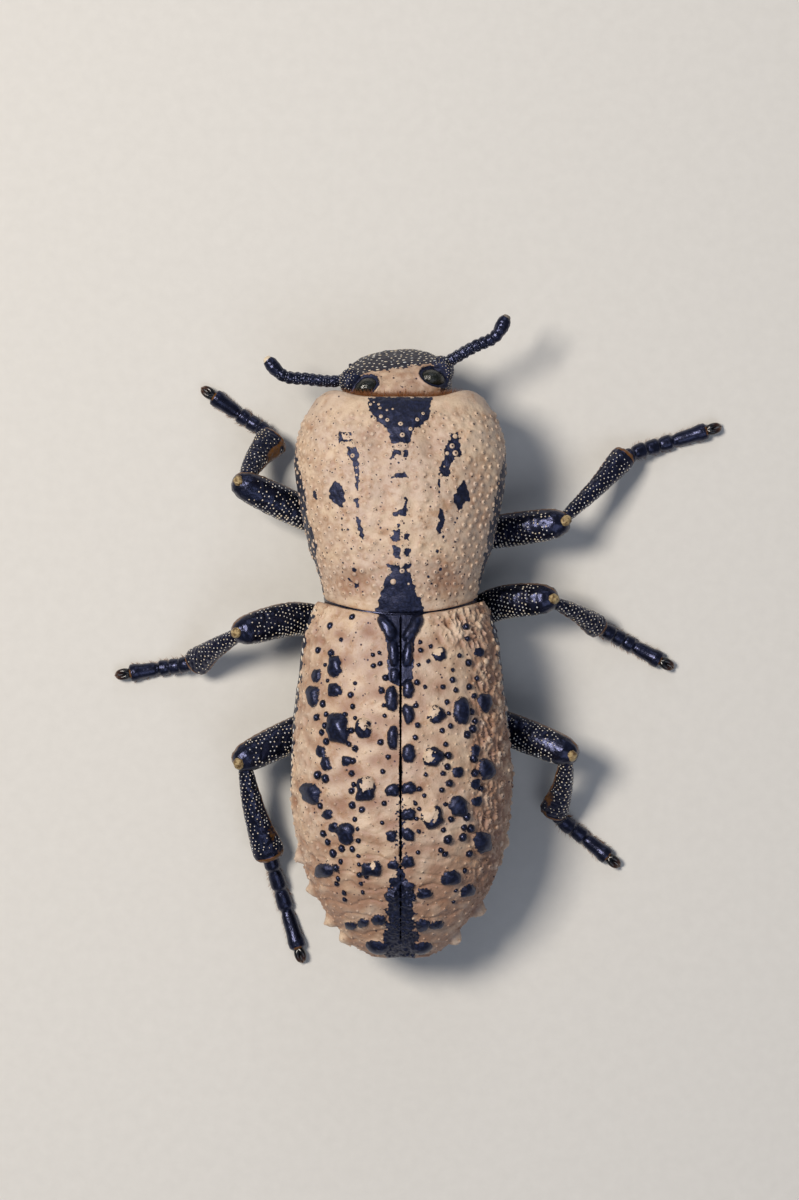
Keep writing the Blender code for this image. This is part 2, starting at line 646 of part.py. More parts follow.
def build_head(collection):
    """Head capsule with its brows, cut back round eyes, feelers and mouthparts."""
    head = object_of("head", skin_of(head_form(), HEAD_AROUND, turned), collection)
    boolean(head, [brow_ball(-1), brow_ball(1), labrum_ball()], "UNION")
    parts = {"head": head}
    cutters = []
    for side, sign in (("left", -1), ("right", 1)):
        forms = {
            "antenna_": (feeler_form(side), 8),
            "mandible_": (mouthpart_form(MANDIBLE, MANDIBLE_HALF, sign), 8),
            "palp_": (mouthpart_form(PALP, PALP_HALF, sign), 8),
        }
        for name, (form, around) in forms.items():
            parts[name + side] = object_of(name + side, skin_of(form, around), collection)
            cutters.append(skin_of(grown(form, GAP), around))
        parts["eye_" + side] = object_of("eye_" + side, eye_ball(sign), collection)
        cutters.append(eye_ball(sign, GAP))
    boolean(head, cutters, "DIFFERENCE")
    return parts


def build_legs(collection):
    """Every leg as femur, tibia and tarsus; each is cut back round the next, which grows from it."""
    parts = {}
    roots = []
    for name, leg in LEGS.items():
        femur, tibia, foot = femur_form(leg), tibia_form(leg), foot_form(leg)
        parts["femur_" + name] = object_of("femur_" + name, skin_of(femur, LIMB_AROUND), collection)
        parts["tibia_" + name] = object_of("tibia_" + name, skin_of(tibia, LIMB_AROUND), collection)
        whole_foot = object_of("whole_foot", skin_of(foot, FOOT_AROUND), collection)
        boolean(whole_foot, [skin_of(claw_form(leg, sign), CLAW_AROUND) for sign in (-1, 1)], "UNION")
        floor = ((Vector((0, 0, 0)), -UP),)
        parts["tarsus_" + name] = sliced(whole_foot, "tarsus_" + name, collection, floor)
        bpy.data.objects.remove(whole_foot)
        boolean(parts["femur_" + name], [skin_of(grown(tibia, GAP), LIMB_AROUND)], "DIFFERENCE")
        boolean(parts["tibia_" + name], [skin_of(grown(foot, GAP), FOOT_AROUND)], "DIFFERENCE")
        roots.append(grown(femur, GAP))
    return parts, roots


def build():
    for obj in list(bpy.data.objects):
        bpy.data.objects.remove(obj)
    collection = bpy.data.collections.new("zopherus_chilensis")
    bpy.context.scene.collection.children.link(collection)
    parts, hips = build_legs(collection)
    parts.update(build_head(collection))
    parts["prothorax"] = object_of("prothorax", skin_of(fore_form(), BODY_AROUND, bend_fore), collection)
    boolean(parts["prothorax"], coxa_balls("fore"), "UNION")
    parts.update(build_hind_body(collection))
    face = [skin_of(grown(head_form(), GAP), HEAD_AROUND, turned), brow_ball(-1, GAP), brow_ball(1, GAP)]
    boolean(parts["prothorax"], face + [skin_of(hip, LIMB_AROUND) for hip in hips], "DIFFERENCE")
    boolean(parts["metathorax"], [skin_of(hip, LIMB_AROUND) for hip in hips], "DIFFERENCE")
    for name, obj in parts.items():
        tan = name == "prothorax" or name.startswith("elytron")
        look = TAN_CRUST if tan else COMPOUND_EYE if name.startswith("eye") else BLACK_CUTICLE
        finish(obj, look)


build()
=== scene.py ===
"""Looks of a still, life-size Zopherus chilensis, an ironclad beetle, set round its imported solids.

Places and sizes are in millimetres in the animal's own frame: x to its right with the midline at 0, y
towards the head and z up from the floor. STANCE moves each finished piece into the frame's metres.
"""

import math
from collections import namedtuple

import bmesh
import bpy
import numpy as np
from bpy.props import FloatProperty, IntProperty, PointerProperty, StringProperty
from mathutils import Matrix, Vector
from mathutils.kdtree import KDTree


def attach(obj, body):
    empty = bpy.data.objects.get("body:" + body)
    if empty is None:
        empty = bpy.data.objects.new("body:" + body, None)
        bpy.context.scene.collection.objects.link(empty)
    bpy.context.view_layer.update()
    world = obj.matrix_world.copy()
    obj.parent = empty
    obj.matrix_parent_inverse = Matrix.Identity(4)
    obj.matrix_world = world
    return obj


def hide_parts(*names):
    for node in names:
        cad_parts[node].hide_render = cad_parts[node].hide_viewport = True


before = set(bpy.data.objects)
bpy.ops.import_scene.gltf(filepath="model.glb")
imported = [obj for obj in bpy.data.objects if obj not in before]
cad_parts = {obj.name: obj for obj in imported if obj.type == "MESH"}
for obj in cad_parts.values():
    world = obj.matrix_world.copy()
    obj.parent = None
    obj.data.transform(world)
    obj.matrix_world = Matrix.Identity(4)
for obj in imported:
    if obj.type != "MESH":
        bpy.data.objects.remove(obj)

bl_info = {
    "name": "Ironclad Beetle",
    "version": (1, 0, 0),
    "blender": (4, 5, 0),
    "location": "View3D > Sidebar > Beetle",
    "description": "Builds the wax-crusted skin, limbs, granules and hairs of an ironclad beetle",
    "category": "Object",
}

MM = 0.001
STANCE = np.array((-1.1, 0.0, 0.0))
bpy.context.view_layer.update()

# The camera looks straight down. The picture's centre, its focal length and the camera's height.
PICTURE = (799, 1200)
PICTURE_MIDDLE = (399.5, 600.0)
FOCAL_PX = 4865.0
CAMERA_HEIGHT = 325.0
MIDLINE_PX = 400.5
PICTURE_Y = 2.69
BACK_HEIGHT = 11.4
FACES_UP = 0.15

# Body outline, from rear to front: place along the body, half width, top, margin and underside.
HIND_BODY = (
    (-20.75, 1.9, 5.7, 4.9, 4.25),
    (-20.2, 2.8, 6.9, 5.0, 3.95),
    (-19.0, 3.9, 8.4, 5.2, 3.65),
    (-17.6, 4.95, 9.7, 5.4, 3.45),
    (-15.6, 6.0, 10.9, 5.6, 3.3),
    (-13.0, 6.75, 11.8, 5.8, 3.2),
    (-9.5, 7.2, 12.3, 6.0, 3.1),
    (-6.0, 7.1, 12.3, 6.1, 3.1),
    (-2.5, 6.7, 12.0, 6.2, 3.15),
    (0.3, 6.15, 11.6, 6.3, 3.2),
    (1.7, 5.4, 11.2, 6.4, 3.3),
)
FORE_BODY = (
    (2.0, 5.0, 11.0, 6.6, 3.35),
    (3.6, 5.3, 11.4, 6.6, 3.25),
    (6.0, 5.95, 11.7, 6.6, 3.1),
    (9.0, 6.6, 11.8, 6.7, 3.1),
    (11.6, 6.9, 11.5, 6.8, 3.3),
    (13.5, 6.65, 11.0, 6.9, 3.6),
    (14.9, 6.05, 10.4, 6.9, 4.0),
    (15.6, 5.5, 9.9, 6.9, 4.3),
)
RIM = ((15.85, 4.7, 9.6, 6.9, 4.7), (15.7, 3.9, 9.25, 6.9, 4.9), (14.2, 3.3, 8.9, 6.9, 5.0))
RIM_START = 0.1
RIM_RINGS = 24
HIDDEN_RIM_RINGS = 14
SOCKET_FLOOR = (0.0, 14.2, 6.9)
WAIST_FLOOR = (0.0, 2.9, 6.6)
BODY_POWER = 2.25
REAR_BOW = 0.9
REAR_BOW_REACH = 4.0
HIND_EDGE = (1.7, 5.4)
FORE_EDGE = (2.0, 5.0)
CORNER_REACH = 0.5
CORNER_START = 14.4
CORNER_RUN = 1.2
CORNER_AT = 4.4
CORNER_SPREAD = 1.3
CASE_EDGE_FRONT = (2.0, 5.4)
CASE_EDGE_REAR = (-20.4, 4.75)
SIGN = {"left": -1, "right": 1}


def curve(knots, places):
    """Smooth values at many places, through knots whose first number is their place, in rising order."""
    rows = np.array(knots, float)
    at, values = rows[:, 0], rows[:, 1:]
    slopes = np.gradient(values, at, axis=0)
    places = np.asarray(places, float)
    i = np.clip(np.searchsorted(at, places) - 1, 0, len(at) - 2)
    span = (at[i + 1] - at[i])[..., None]
    t = (places - at[i])[..., None] / span
    near = (1 + 2 * t) * (1 - t) ** 2 * values[i] + t * (1 - t) ** 2 * span * slopes[i]
    far = t * t * (3 - 2 * t) * values[i + 1] + t * t * (t - 1) * span * slopes[i + 1]
    return near + far


def lay_out(value, power):
    """A superellipse's coordinate from its cosine or sine."""
    return np.sign(value) * np.abs(value) ** (2 / power)


def smooth(low, high, value):
    """0 below low, 1 above high, and an even rise between them."""
    t = np.clip((value - low) / (high - low), 0, 1)
    return t * t * (3 - 2 * t)


def bell(distance, spread):
    """1 at no distance, a third at the spread and almost 0 at twice that."""
    return np.exp(-((distance / spread) ** 2))


def unit(vectors):
    return vectors / np.maximum(np.linalg.norm(vectors, axis=-1, keepdims=True), 1e-9)


def mirrored(point, sign):
    """A place on the animal's right, or its mirror image on the left."""
    return np.array(point) * (sign, 1, 1)


def ripple(points, length, seed, waves=14):
    """Seeded noise of about -1 to 1 whose hills lie about a length apart."""
    rng = np.random.default_rng(seed)
    aims = unit(rng.normal(size=(waves, 3))) * rng.uniform(0.6, 1.7, (waves, 1)) * 2 * np.pi / length
    starts = rng.uniform(0, 2 * np.pi, waves)
    total = np.zeros(points.shape[:-1])
    for aim, start in zip(aims, starts):
        total += np.sin(points @ aim + start)
    return total / math.sqrt(waves / 2) / 1.6


def read_points(mesh):
    flat = np.empty(len(mesh.vertices) * 3, np.float32)
    mesh.vertices.foreach_get("co", flat)
    return flat.reshape(-1, 3).astype(float)


def write_points(mesh, points):
    mesh.vertices.foreach_set("co", np.asarray(points, np.float32).ravel())
    mesh.update()


def set_mark(mesh, name, values):
    """A number on every vertex, for a material to read."""
    layer = mesh.attributes.get(name) or mesh.attributes.new(name, "FLOAT", "POINT")
    layer.data.foreach_set("value", np.asarray(values, np.float32).ravel())


def shaped(name, operator, **settings):
    """A new mesh from one bmesh operator."""
    bm = bmesh.new()
    operator(bm, **settings)
    mesh = bpy.data.meshes.new(name)
    bm.to_mesh(mesh)
    bm.free()
    return mesh


def bead(name, around=10, rings=6):
    """The small round body that every granule is a copy of, and larger domes are made from."""
    return shaped(name, bmesh.ops.create_uvsphere, u_segments=around, v_segments=rings, radius=1)


def face_out(mesh):
    """Turns a closed mesh's faces outwards."""
    mesh.calc_loop_triangles()
    corners = np.empty(len(mesh.loop_triangles) * 3, np.int32)
    mesh.loop_triangles.foreach_get("vertices", corners)
    a, b, c = (read_points(mesh)[corners.reshape(-1, 3)[:, i]] for i in range(3))
    if np.einsum("ij,ij->i", a, np.cross(b, c)).sum() < 0:
        mesh.flip_normals()


def grid_skin(name, grid, marks):
    """A closed mesh: a sphere whose rings and segments take the points of a grid, poles included."""
    rings, around = grid.shape[0] - 1, grid.shape[1]
    mesh = bead(name, around, rings)
    ball = read_points(mesh)
    ring = np.rint(np.arccos(np.clip(ball[:, 2], -1, 1)) / np.pi * rings).astype(int)
    turn = np.arctan2(ball[:, 1], ball[:, 0]) / (2 * np.pi)
    segment = np.rint(turn * around).astype(int) % around
    write_points(mesh, grid[ring, segment])
    for mark, values in marks.items():
        set_mark(mesh, mark, values[ring, segment])
    face_out(mesh)
    return mesh


def closed(start, grid, end):
    """A grid drawn together into one point before its first ring and one after its last."""
    first, last = (np.broadcast_to(point, (1, grid.shape[1], 3)) for point in (start, end))
    return np.concatenate((first, grid, last))


def grid_normals(grid):
    """Outward directions at every point of a grid."""
    along = np.gradient(grid, axis=0)
    across = np.roll(grid, -1, 1) - np.roll(grid, 1, 1)
    normals = unit(np.cross(across, along))
    outward = grid - grid.mean(axis=1, keepdims=True)
    middle = slice(len(grid) // 4, 3 * len(grid) // 4)
    sign = np.sign(np.einsum("ijk,ijk->", normals[middle], outward[middle]))
    return normals * sign


def tree_of(points):
    tree = KDTree(len(points))
    for i, point in enumerate(points):
        tree.insert(point, i)
    tree.balance()
    return tree


def make_piece(name, mesh, looks, surface, slot, *nodes, sharp=60):
    """Puts a finished mesh in the scene, riding on the body, in place of the named solids."""
    write_points(mesh, (read_points(mesh) + STANCE) * MM)
    obj = bpy.data.objects.new(name, mesh)
    bpy.context.scene.collection.objects.link(obj)
    mesh.materials.append(finish(surface, looks))
    mesh.shade_smooth()
    if sharp:
        mesh.set_sharp_from_angle(angle=math.radians(sharp))
    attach(obj, "root")
    if nodes:
        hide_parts(*nodes)
    return obj


def joined(name, meshes):
    """One mesh of several loose ones, their marks kept."""
    bm = bmesh.new()
    for mesh in meshes:
        bm.from_mesh(mesh)
        bpy.data.meshes.remove(mesh)
    mesh = bpy.data.meshes.new(name)
    bm.to_mesh(mesh)
    bm.free()
    return mesh


def copies(name, template, matrices, marks=None):
    """Many copies of one small mesh, from an Array modifier, each then set by its own matrix."""
    obj = bpy.data.objects.new(name, template)
    bpy.context.scene.collection.objects.link(obj)
    array = obj.modifiers.new("Row", "ARRAY")
    array.count = len(matrices)
    array.use_relative_offset = False
    array.use_merge_vertices = False
    graph = bpy.context.evaluated_depsgraph_get()
    mesh = bpy.data.meshes.new_from_object(obj.evaluated_get(graph))
    mesh.name = name
    bpy.data.objects.remove(obj)
    base = read_points(template)
    frames = np.array(matrices, float)
    points = np.einsum("nij,vj->nvi", frames[:, :3, :3], base) + frames[:, None, :3, 3]
    write_points(mesh, points.reshape(-1, 3))
    for mark, values in (marks or {}).items():
        set_mark(mesh, mark, np.repeat(values, len(base)))
    bpy.data.meshes.remove(template)
    return mesh


def frames_on(points, normals, sizes, spins=None, lie=(0.0, 1.0, 0.0)):
    """4x4 matrices whose Z is each normal and whose Y lies towards lie, scaled by sizes (n, 3)."""
    lie = np.broadcast_to(np.asarray(lie, float), points.shape)
    side = unit(np.cross(lie, normals))
    ahead = np.cross(normals, side)
    if spins is not None:
        c, s = np.cos(spins)[:, None], np.sin(spins)[:, None]
        side, ahead = side * c + ahead * s, ahead * c - side * s
    made = np.zeros((len(points), 4, 4))
    made[:, :3, 0] = side * sizes[:, :1]
    made[:, :3, 1] = ahead * sizes[:, 1:2]
    made[:, :3, 2] = normals * sizes[:, 2:3]
    made[:, :3, 3] = points
    made[:, 3, 3] = 1
    return made


def linear(code):
    """The linear colour, with alpha, of an sRGB hex code."""
    values = [int(code[i : i + 2], 16) / 255 for i in (1, 3, 5)]
    return (*[v / 12.92 if v <= 0.04045 else ((v + 0.055) / 1.055) ** 2.4 for v in values], 1.0)


def add(tree, kind, inputs=None, **settings):
    """Adds one node with its settings, its values and its links."""
    node = tree.nodes.new(kind)
    for key, value in settings.items():
        setattr(node, key, value)
    for key, value in (inputs or {}).items():
        if isinstance(value, bpy.types.NodeSocket):
            tree.links.new(value, node.inputs[key])
        else:
            node.inputs[key].default_value = value
    return node


def start_material(name, **values):
    """A material, its tree, its Principled shader and its Object coordinates in millimetres."""
    material = bpy.data.materials.new(name)
    material.use_nodes = True
    tree = material.node_tree
    shader = tree.nodes["Principled BSDF"]
    for key, value in values.items():
        shader.inputs[key.replace("_", " ")].default_value = value
    place = add(tree, "ShaderNodeTexCoord").outputs["Object"]
    mm = add(tree, "ShaderNodeVectorMath", {0: place, "Scale": 1 / MM}, operation="SCALE").outputs[0]
    return material, tree, shader, mm


FINISHES = {}


def finish(surface, looks):
    """The material that a surface's function makes, made once and shared."""
    if surface not in FINISHES:
        FINISHES[surface] = surface(looks)
    return FINISHES[surface]


def noise(tree, mm, length, detail=3.0, roughness=0.55):
    """Noise whose features are about a length in millimetres across."""
    inputs = {"Vector": mm, "Scale": 1 / length, "Detail": detail, "Roughness": roughness}
    return add(tree, "ShaderNodeTexNoise", inputs).outputs["Fac"]


def mark(tree, name):
    return add(tree, "ShaderNodeAttribute", attribute_name=name).outputs["Fac"]


def math_of(tree, operation, *values):
    inputs = dict(enumerate(values))
    return add(tree, "ShaderNodeMath", inputs, operation=operation, use_clamp=False).outputs[0]


def step(tree, value, low, high):
    """0 below low and 1 above high."""
    inputs = {"Value": value, "From Min": low, "From Max": high}
    return add(tree, "ShaderNodeMapRange", inputs, interpolation_type="SMOOTHSTEP").outputs[0]


def blend(tree, share, first, second):
    """A colour between two."""
    inputs = {"Factor": share, "A": first, "B": second}
    return add(tree, "ShaderNodeMix", inputs, data_type="RGBA").outputs["Result"]


def between(tree, share, low, high):
    inputs = {"Value": share, "To Min": low, "To Max": high}
    return add(tree, "ShaderNodeMapRange", inputs).outputs[0]


def bump(tree, shader, height, depth):
    """Relief of a depth in millimetres on a shader."""
    inputs = {"Height": height, "Distance": depth * MM, "Strength": 1.0}
    tree.links.new(add(tree, "ShaderNodeBump", inputs).outputs["Normal"], shader.inputs["Normal"])


def paint(tree, shader, colour, share=None, second=None):
    """Gives a shader its colour, or a blend of two hex codes by a share."""
    if second:
        colour = blend(tree, share, linear(colour), linear(second))
    tree.links.new(colour, shader.inputs["Base Color"])


# The faint blue that the eye sees in every reflection on bare cuticle.
BLUE_SHINE = linear("#b0b8ee")


def wax_colour(tree, mm, looks):
    """Pale crust that is browner in patches and has a fine grain, then browned by the stain_and_shade mark:
    real stains, and painted shade in hollows, creases and round granules. The caller adds the scattered dark
    pricks.
    """
    patches = step(tree, noise(tree, mm, 2.6, 4.0, 0.6), 0.34, 0.62)
    colour = blend(tree, patches, linear(looks.pale_wax), linear(looks.wax))
    stains = step(tree, noise(tree, mm, 1.1, 5.0, 0.7), 0.5, 0.7)
    colour = blend(tree, math_of(tree, "MULTIPLY", stains, 0.8), colour, linear(looks.stained_wax))
    grain = step(tree, noise(tree, mm, 0.14, 3.0, 0.7), 0.45, 0.75)
    colour = blend(tree, math_of(tree, "MULTIPLY", grain, 0.35), colour, linear(looks.stained_wax))
    # The stain_and_shade mark browns the crust: partly real brown stain, partly painted shade in hollows,
    # creases and round granules.
    stain_and_shade = mark(tree, "stain_and_shade")
    return blend(tree, math_of(tree, "MULTIPLY", stain_and_shade, 0.8), colour, linear(looks.stain_and_shade_wax))


def dark_pricks(tree, mm):
    """Pores: sparse dots about 0.1 mm across, some on the tops of granules."""
    inputs = {"Vector": mm, "Scale": 1 / 0.55, "Randomness": 1.0}
    cells = add(tree, "ShaderNodeTexVoronoi", inputs)
    dots = step(tree, cells.outputs["Distance"], 0.16, 0.1)
    few = step(tree, noise(tree, mm, 1.6), 0.47, 0.53)
    pores = math_of(tree, "MULTIPLY", dots, few)
    return math_of(tree, "MAXIMUM", pores, step(tree, mark(tree, "prick"), 0.45, 0.6))


def waxed_cuticle(looks):
    """Beetle cuticle under its waxy crust: matt, mottled and pale where the wax lies, with a satin
    black where it is worn off or never formed, blue in flecks of painted sky reflection, and a gloss on the
    black tubercles."""
    material, tree, shader, mm = start_material(
        "Waxed beetle cuticle", IOR=1.5, Specular_IOR_Level=0.85, Specular_Tint=BLUE_SHINE
    )
    rough_edge = math_of(tree, "SUBTRACT", noise(tree, mm, 0.2, 4.0, 0.75), 0.5)
    edge = math_of(tree, "MULTIPLY_ADD", rough_edge, 0.5, mark(tree, "bare"))
    bare = step(tree, edge, 0.47, 0.53)
    wax = blend(tree, dark_pricks(tree, mm), wax_colour(tree, mm, looks), linear(looks.pore))
    # Painted reflection: random flecks of a blue that stands for the sky reflected in the black cuticle.
    sky_fleck = step(tree, noise(tree, mm, 0.2, 2.0), 0.42, 0.72)
    cuticle = blend(tree, sky_fleck, linear(looks.cuticle), linear(looks.cuticle_sky_reflection))
    # Painted shade: the face_shade mark darkens the clypeus to a brown black.
    cuticle = blend(tree, mark(tree, "face_shade"), cuticle, linear(looks.face_shade))
    paint(tree, shader, blend(tree, bare, wax, cuticle))
    gloss = mark(tree, "gloss")
    black = between(tree, gloss, 0.46, 0.3)
    dull = between(tree, noise(tree, mm, 0.5), 0.46, 0.7)
    mixed = {"Factor": bare, "A": dull, "B": black}
    rough = add(tree, "ShaderNodeMix", mixed, data_type="FLOAT").outputs["Result"]
    tree.links.new(rough, shader.inputs["Roughness"])
    creases = noise(tree, mm, 0.45, 5.0, 0.6)
    grain = noise(tree, mm, 0.09, 2.0)
    relief = math_of(tree, "MULTIPLY_ADD", grain, 0.25, creases)
    flat = between(tree, math_of(tree, "MULTIPLY", bare, gloss), 1.0, 0.12)
    height = math_of(tree, "MULTIPLY_ADD", bare, -0.45, math_of(tree, "MULTIPLY", relief, flat))
    bump(tree, shader, height, 0.09)
    return material


def bare_cuticle(looks):
    """Wax-free cuticle of limbs and underside: nearly black, with patches of painted blue sky reflection,
    smooth enough to shine, amber and clear where it thins out at an edge."""
    material, tree, shader, mm = start_material(
        "Black beetle cuticle", IOR=1.54, Specular_IOR_Level=0.7, Specular_Tint=BLUE_SHINE
    )
    # Painted reflection: patches of a blue that stands for the sky reflected in the black limbs.
    cast = step(tree, noise(tree, mm, 0.5, 3.0), 0.4, 0.7)
    black = blend(tree, cast, linear(looks.limb), linear(looks.limb_sky_reflection))
    uneven = math_of(tree, "SUBTRACT", noise(tree, mm, 0.2), 0.5)
    amber = math_of(tree, "MULTIPLY_ADD", uneven, 0.5, mark(tree, "amber"))
    thin = step(tree, amber, 0.38, 0.62)
    cream = step(tree, mark(tree, "cream"), 0.35, 0.65)
    colour = blend(tree, thin, black, linear(looks.amber))
    paint(tree, shader, blend(tree, cream, colour, linear(looks.cream)))
    rough = between(tree, noise(tree, mm, 0.35), 0.2, 0.3)
    tree.links.new(rough, shader.inputs["Roughness"])
    pits = noise(tree, mm, 0.14, 3.0, 0.6)
    bump(tree, shader, pits, 0.022)
    return material


def cream_wax(looks):
    """Wax caps on granules: cream to bluish white, matt and slightly uneven."""
    material, tree, shader, mm = start_material("Cream wax granule", IOR=1.45, Roughness=0.48)
    share = step(tree, noise(tree, mm, 0.3), 0.35, 0.7)
    paint(tree, shader, looks.cream, share, looks.blue_white)
    bump(tree, shader, noise(tree, mm, 0.06, 2.0), 0.02)
    return material


def eye_lens(looks):
    """Compound eye: dark olive lenses under a clear, smooth cornea, packed about 0.07 mm apart and
    drawn at 0.09 mm so that they show."""
    material, tree, shader, mm = start_material("Compound eye cornea", IOR=1.56, Roughness=0.16)
    inputs = {"Vector": mm, "Scale": 1 / 0.09, "Randomness": 0.35}
    cells = add(tree, "ShaderNodeTexVoronoi", inputs).outputs["Distance"]
    paint(tree, shader, looks.eye, step(tree, cells, 0.25, 0.6), looks.eye_edge)
    bump(tree, shader, math_of(tree, "MULTIPLY", cells, -1.0), 0.02)
    return material


def golden_seta(looks):
    return hair("Golden seta", looks.golden_root, looks.golden_tip, 0.35, 0.05)


def pale_seta(looks):
    return hair("Pale seta", looks.pale_root, looks.pale_tip, 0.4, 0.2)


def hair(name, root, tip, roughness, sheen):
    """Beetle hair: a stiff solid seta that is darker at its root, with a soft shine along it."""
    material, tree, shader, mm = start_material(name, IOR=1.55, Roughness=roughness)
    shader.inputs["Sheen Weight"].default_value = sheen
    varied = math_of(tree, "MULTIPLY_ADD", noise(tree, mm, 0.25), 0.6, mark(tree, "along"))
    paint(tree, shader, root, step(tree, varied, 0.1, 1.1), tip)
    return material


def joint_skin(looks):
    """The soft skin of a knee or waist: pale gold, folded and slightly damp, with painted shade in the low
    parts of its folds.
    """
    material, tree, shader, mm = start_material("Joint membrane", IOR=1.42, Roughness=0.38)
    folds = noise(tree, mm, 0.22, 4.0, 0.6)
    # Painted shade: the low parts of the folds take the darker fold colour.
    paint(tree, shader, looks.membrane_fold_shade, step(tree, folds, 0.35, 0.65), looks.membrane)
    bump(tree, shader, folds, 0.06)
    return material


def claw_horn(looks):
    """Hardened claw: black at its root and brown where it thins to the tip, polished by use."""
    material, tree, shader, mm = start_material("Claw horn", IOR=1.55, Roughness=0.22)
    share = step(tree, mark(tree, "along"), 0.35, 1.0)
    paint(tree, shader, looks.limb, share, looks.claw_tip)
    bump(tree, shader, noise(tree, mm, 0.12), 0.015)
    return material


def studio_board(looks):
    """Plain matt board, pale and even, with the faintest tooth."""
    material, tree, shader, mm = start_material("Pale matt board", IOR=1.45, Roughness=0.85)
    tooth = noise(tree, mm, 0.8)
    paint(tree, shader, looks.board, tooth, looks.board_shade)
    bump(tree, shader, tooth, 0.01)
    return material


# Marks of the pronotum, outlined on the picture enlarged ENLARGED times from ENLARGED_CORNER.
ENLARGED = 6.817
ENLARGED_CORNER = (285.0, 390.0)
PRONOTUM_MARKS = (
    (
        (566, 40), (573, 123), (620, 198), (682, 239), (716, 300), (720, 361), (852, 361), (866, 280),
        (927, 239), (985, 187), (1002, 40),
    ),
    ((720, 415), (790, 415), (790, 440), (755, 440), (745, 470), (720, 470)),
    ((800, 410), (840, 410), (838, 460), (806, 458)),
    ((785, 570), (815, 550), (840, 605), (812, 600), (720, 604), (722, 594)),
    ((820, 735), (834, 745), (832, 800), (826, 860), (735, 860), (740, 830), (800, 815), (812, 790)),
    ((725, 1030), (735, 965), (765, 950), (775, 915), (785, 960), (785, 1020), (755, 1035)),
    ((803, 975), (845, 985), (843, 1025), (812, 1020)),
    ((735, 1060), (785, 1060), (780, 1150), (742, 1150)),
    ((812, 1080), (857, 1085), (850, 1140), (818, 1135)),
    (
        (690, 1190), (770, 1190), (790, 1215), (820, 1180), (860, 1185), (858, 1215), (830, 1225),
        (860, 1265), (890, 1380), (925, 1430), (945, 1500), (935, 1568), (620, 1568), (620, 1500),
        (640, 1420), (665, 1370), (690, 1270), (735, 1240),
    ),
    (
        (365, 285), (445, 290), (452, 305), (395, 303), (397, 335), (455, 338), (455, 352), (395, 350),
        (372, 368),
    ),
    (
        (425, 390), (480, 392), (500, 430), (505, 560), (500, 690), (488, 670), (478, 560), (455, 470),
        (430, 440),
    ),
    ((472, 745), (505, 745), (505, 805), (485, 800), (478, 765), (460, 762)),
    ((485, 865), (505, 868), (545, 1010), (535, 1024), (510, 990)),
    ((345, 620), (310, 650), (300, 730), (345, 770), (375, 805), (400, 795), (410, 700), (385, 640)),
    ((182, 690), (205, 685), (215, 735), (208, 752)),
    (
        (1175, 290), (1195, 400), (1205, 440), (1165, 460), (1130, 500), (1125, 570), (1100, 590),
        (1050, 600), (1055, 560), (1060, 510), (1085, 470), (1090, 380), (1130, 330), (1130, 300),
    ),
    ((1046, 600), (1054, 600), (1056, 700), (1048, 700)),
    ((1055, 780), (1075, 830), (1090, 900), (1075, 945), (1045, 990), (1035, 960), (1045, 880)),
    (
        (1222, 610), (1250, 680), (1270, 750), (1210, 790), (1185, 830), (1170, 790), (1145, 740),
        (1175, 670),
    ),
    ((420, 1285), (445, 1305), (480, 1325), (495, 1310), (488, 1340), (470, 1352), (455, 1320)),
    ((1065, 1310), (1105, 1312), (1085, 1335)),
)
# Small dark marks: x, y and diameter in the same enlargement.
PRONOTUM_SPOTS = (
    (773, 497, 14), (1175, 880, 16), (1160, 905, 14), (1080, 1000, 18), (1160, 1030, 16), (1040, 1100, 26),
    (470, 1225, 34), (390, 1240, 16), (1060, 1225, 24), (975, 1275, 20), (385, 880, 18), (390, 920, 14),
    (390, 955, 16), (432, 950, 16), (455, 1080, 14), (395, 1180, 16), (470, 1180, 14), (1000, 1320, 16),
    (310, 560, 12), (345, 540, 10), (590, 175, 18), (600, 140, 12),
)
# Cream granules that stand in the black marks: x, y and diameter in the same enlargement.
CREAM_IN_MARKS = (
    (785, 230, 40), (800, 308, 38), (655, 178, 30), (700, 198, 30), (648, 125, 24), (693, 138, 18),
    (730, 130, 18), (638, 95, 22), (607, 78, 16), (943, 157, 26), (900, 200, 32), (855, 265, 30),
    (580, 95, 24), (738, 385, 40), (778, 380, 34), (825, 380, 40), (425, 310, 42), (455, 360, 26),
    (460, 445, 34), (490, 530, 18), (487, 578, 20), (1160, 315, 38), (1135, 385, 40), (1160, 430, 44),
    (1110, 428, 30), (1090, 520, 14), (1065, 578, 20), (740, 1305, 45), (800, 1235, 40), (840, 1325, 18),
    (770, 1180, 30), (800, 1060, 30),
)
# Gentle hills and hollows of the pronotum: x, y, spread across, spread along, height.
PRONOTUM_RELIEF = (
    (0.0, 8.0, 0.55, 6.0, 0.12), (-2.0, 9.5, 0.45, 3.5, 0.10), (1.3, 9.5, 0.45, 3.5, 0.10),
    (-1.55, 13.1, 0.8, 1.2, -0.26), (1.9, 13.0, 0.8, 1.2, -0.26), (-2.8, 3.7, 1.0, 0.7, -0.24),
    (3.1, 4.0, 1.1, 0.8, -0.24), (4.6, 13.4, 1.2, 1.2, 0.22), (-4.6, 13.6, 1.2, 1.2, 0.18),
    (5.0, 8.5, 0.9, 3.0, -0.12), (-5.2, 8.0, 0.8, 3.0, -0.08), (-4.0, 10.2, 1.1, 1.4, 0.12),
)
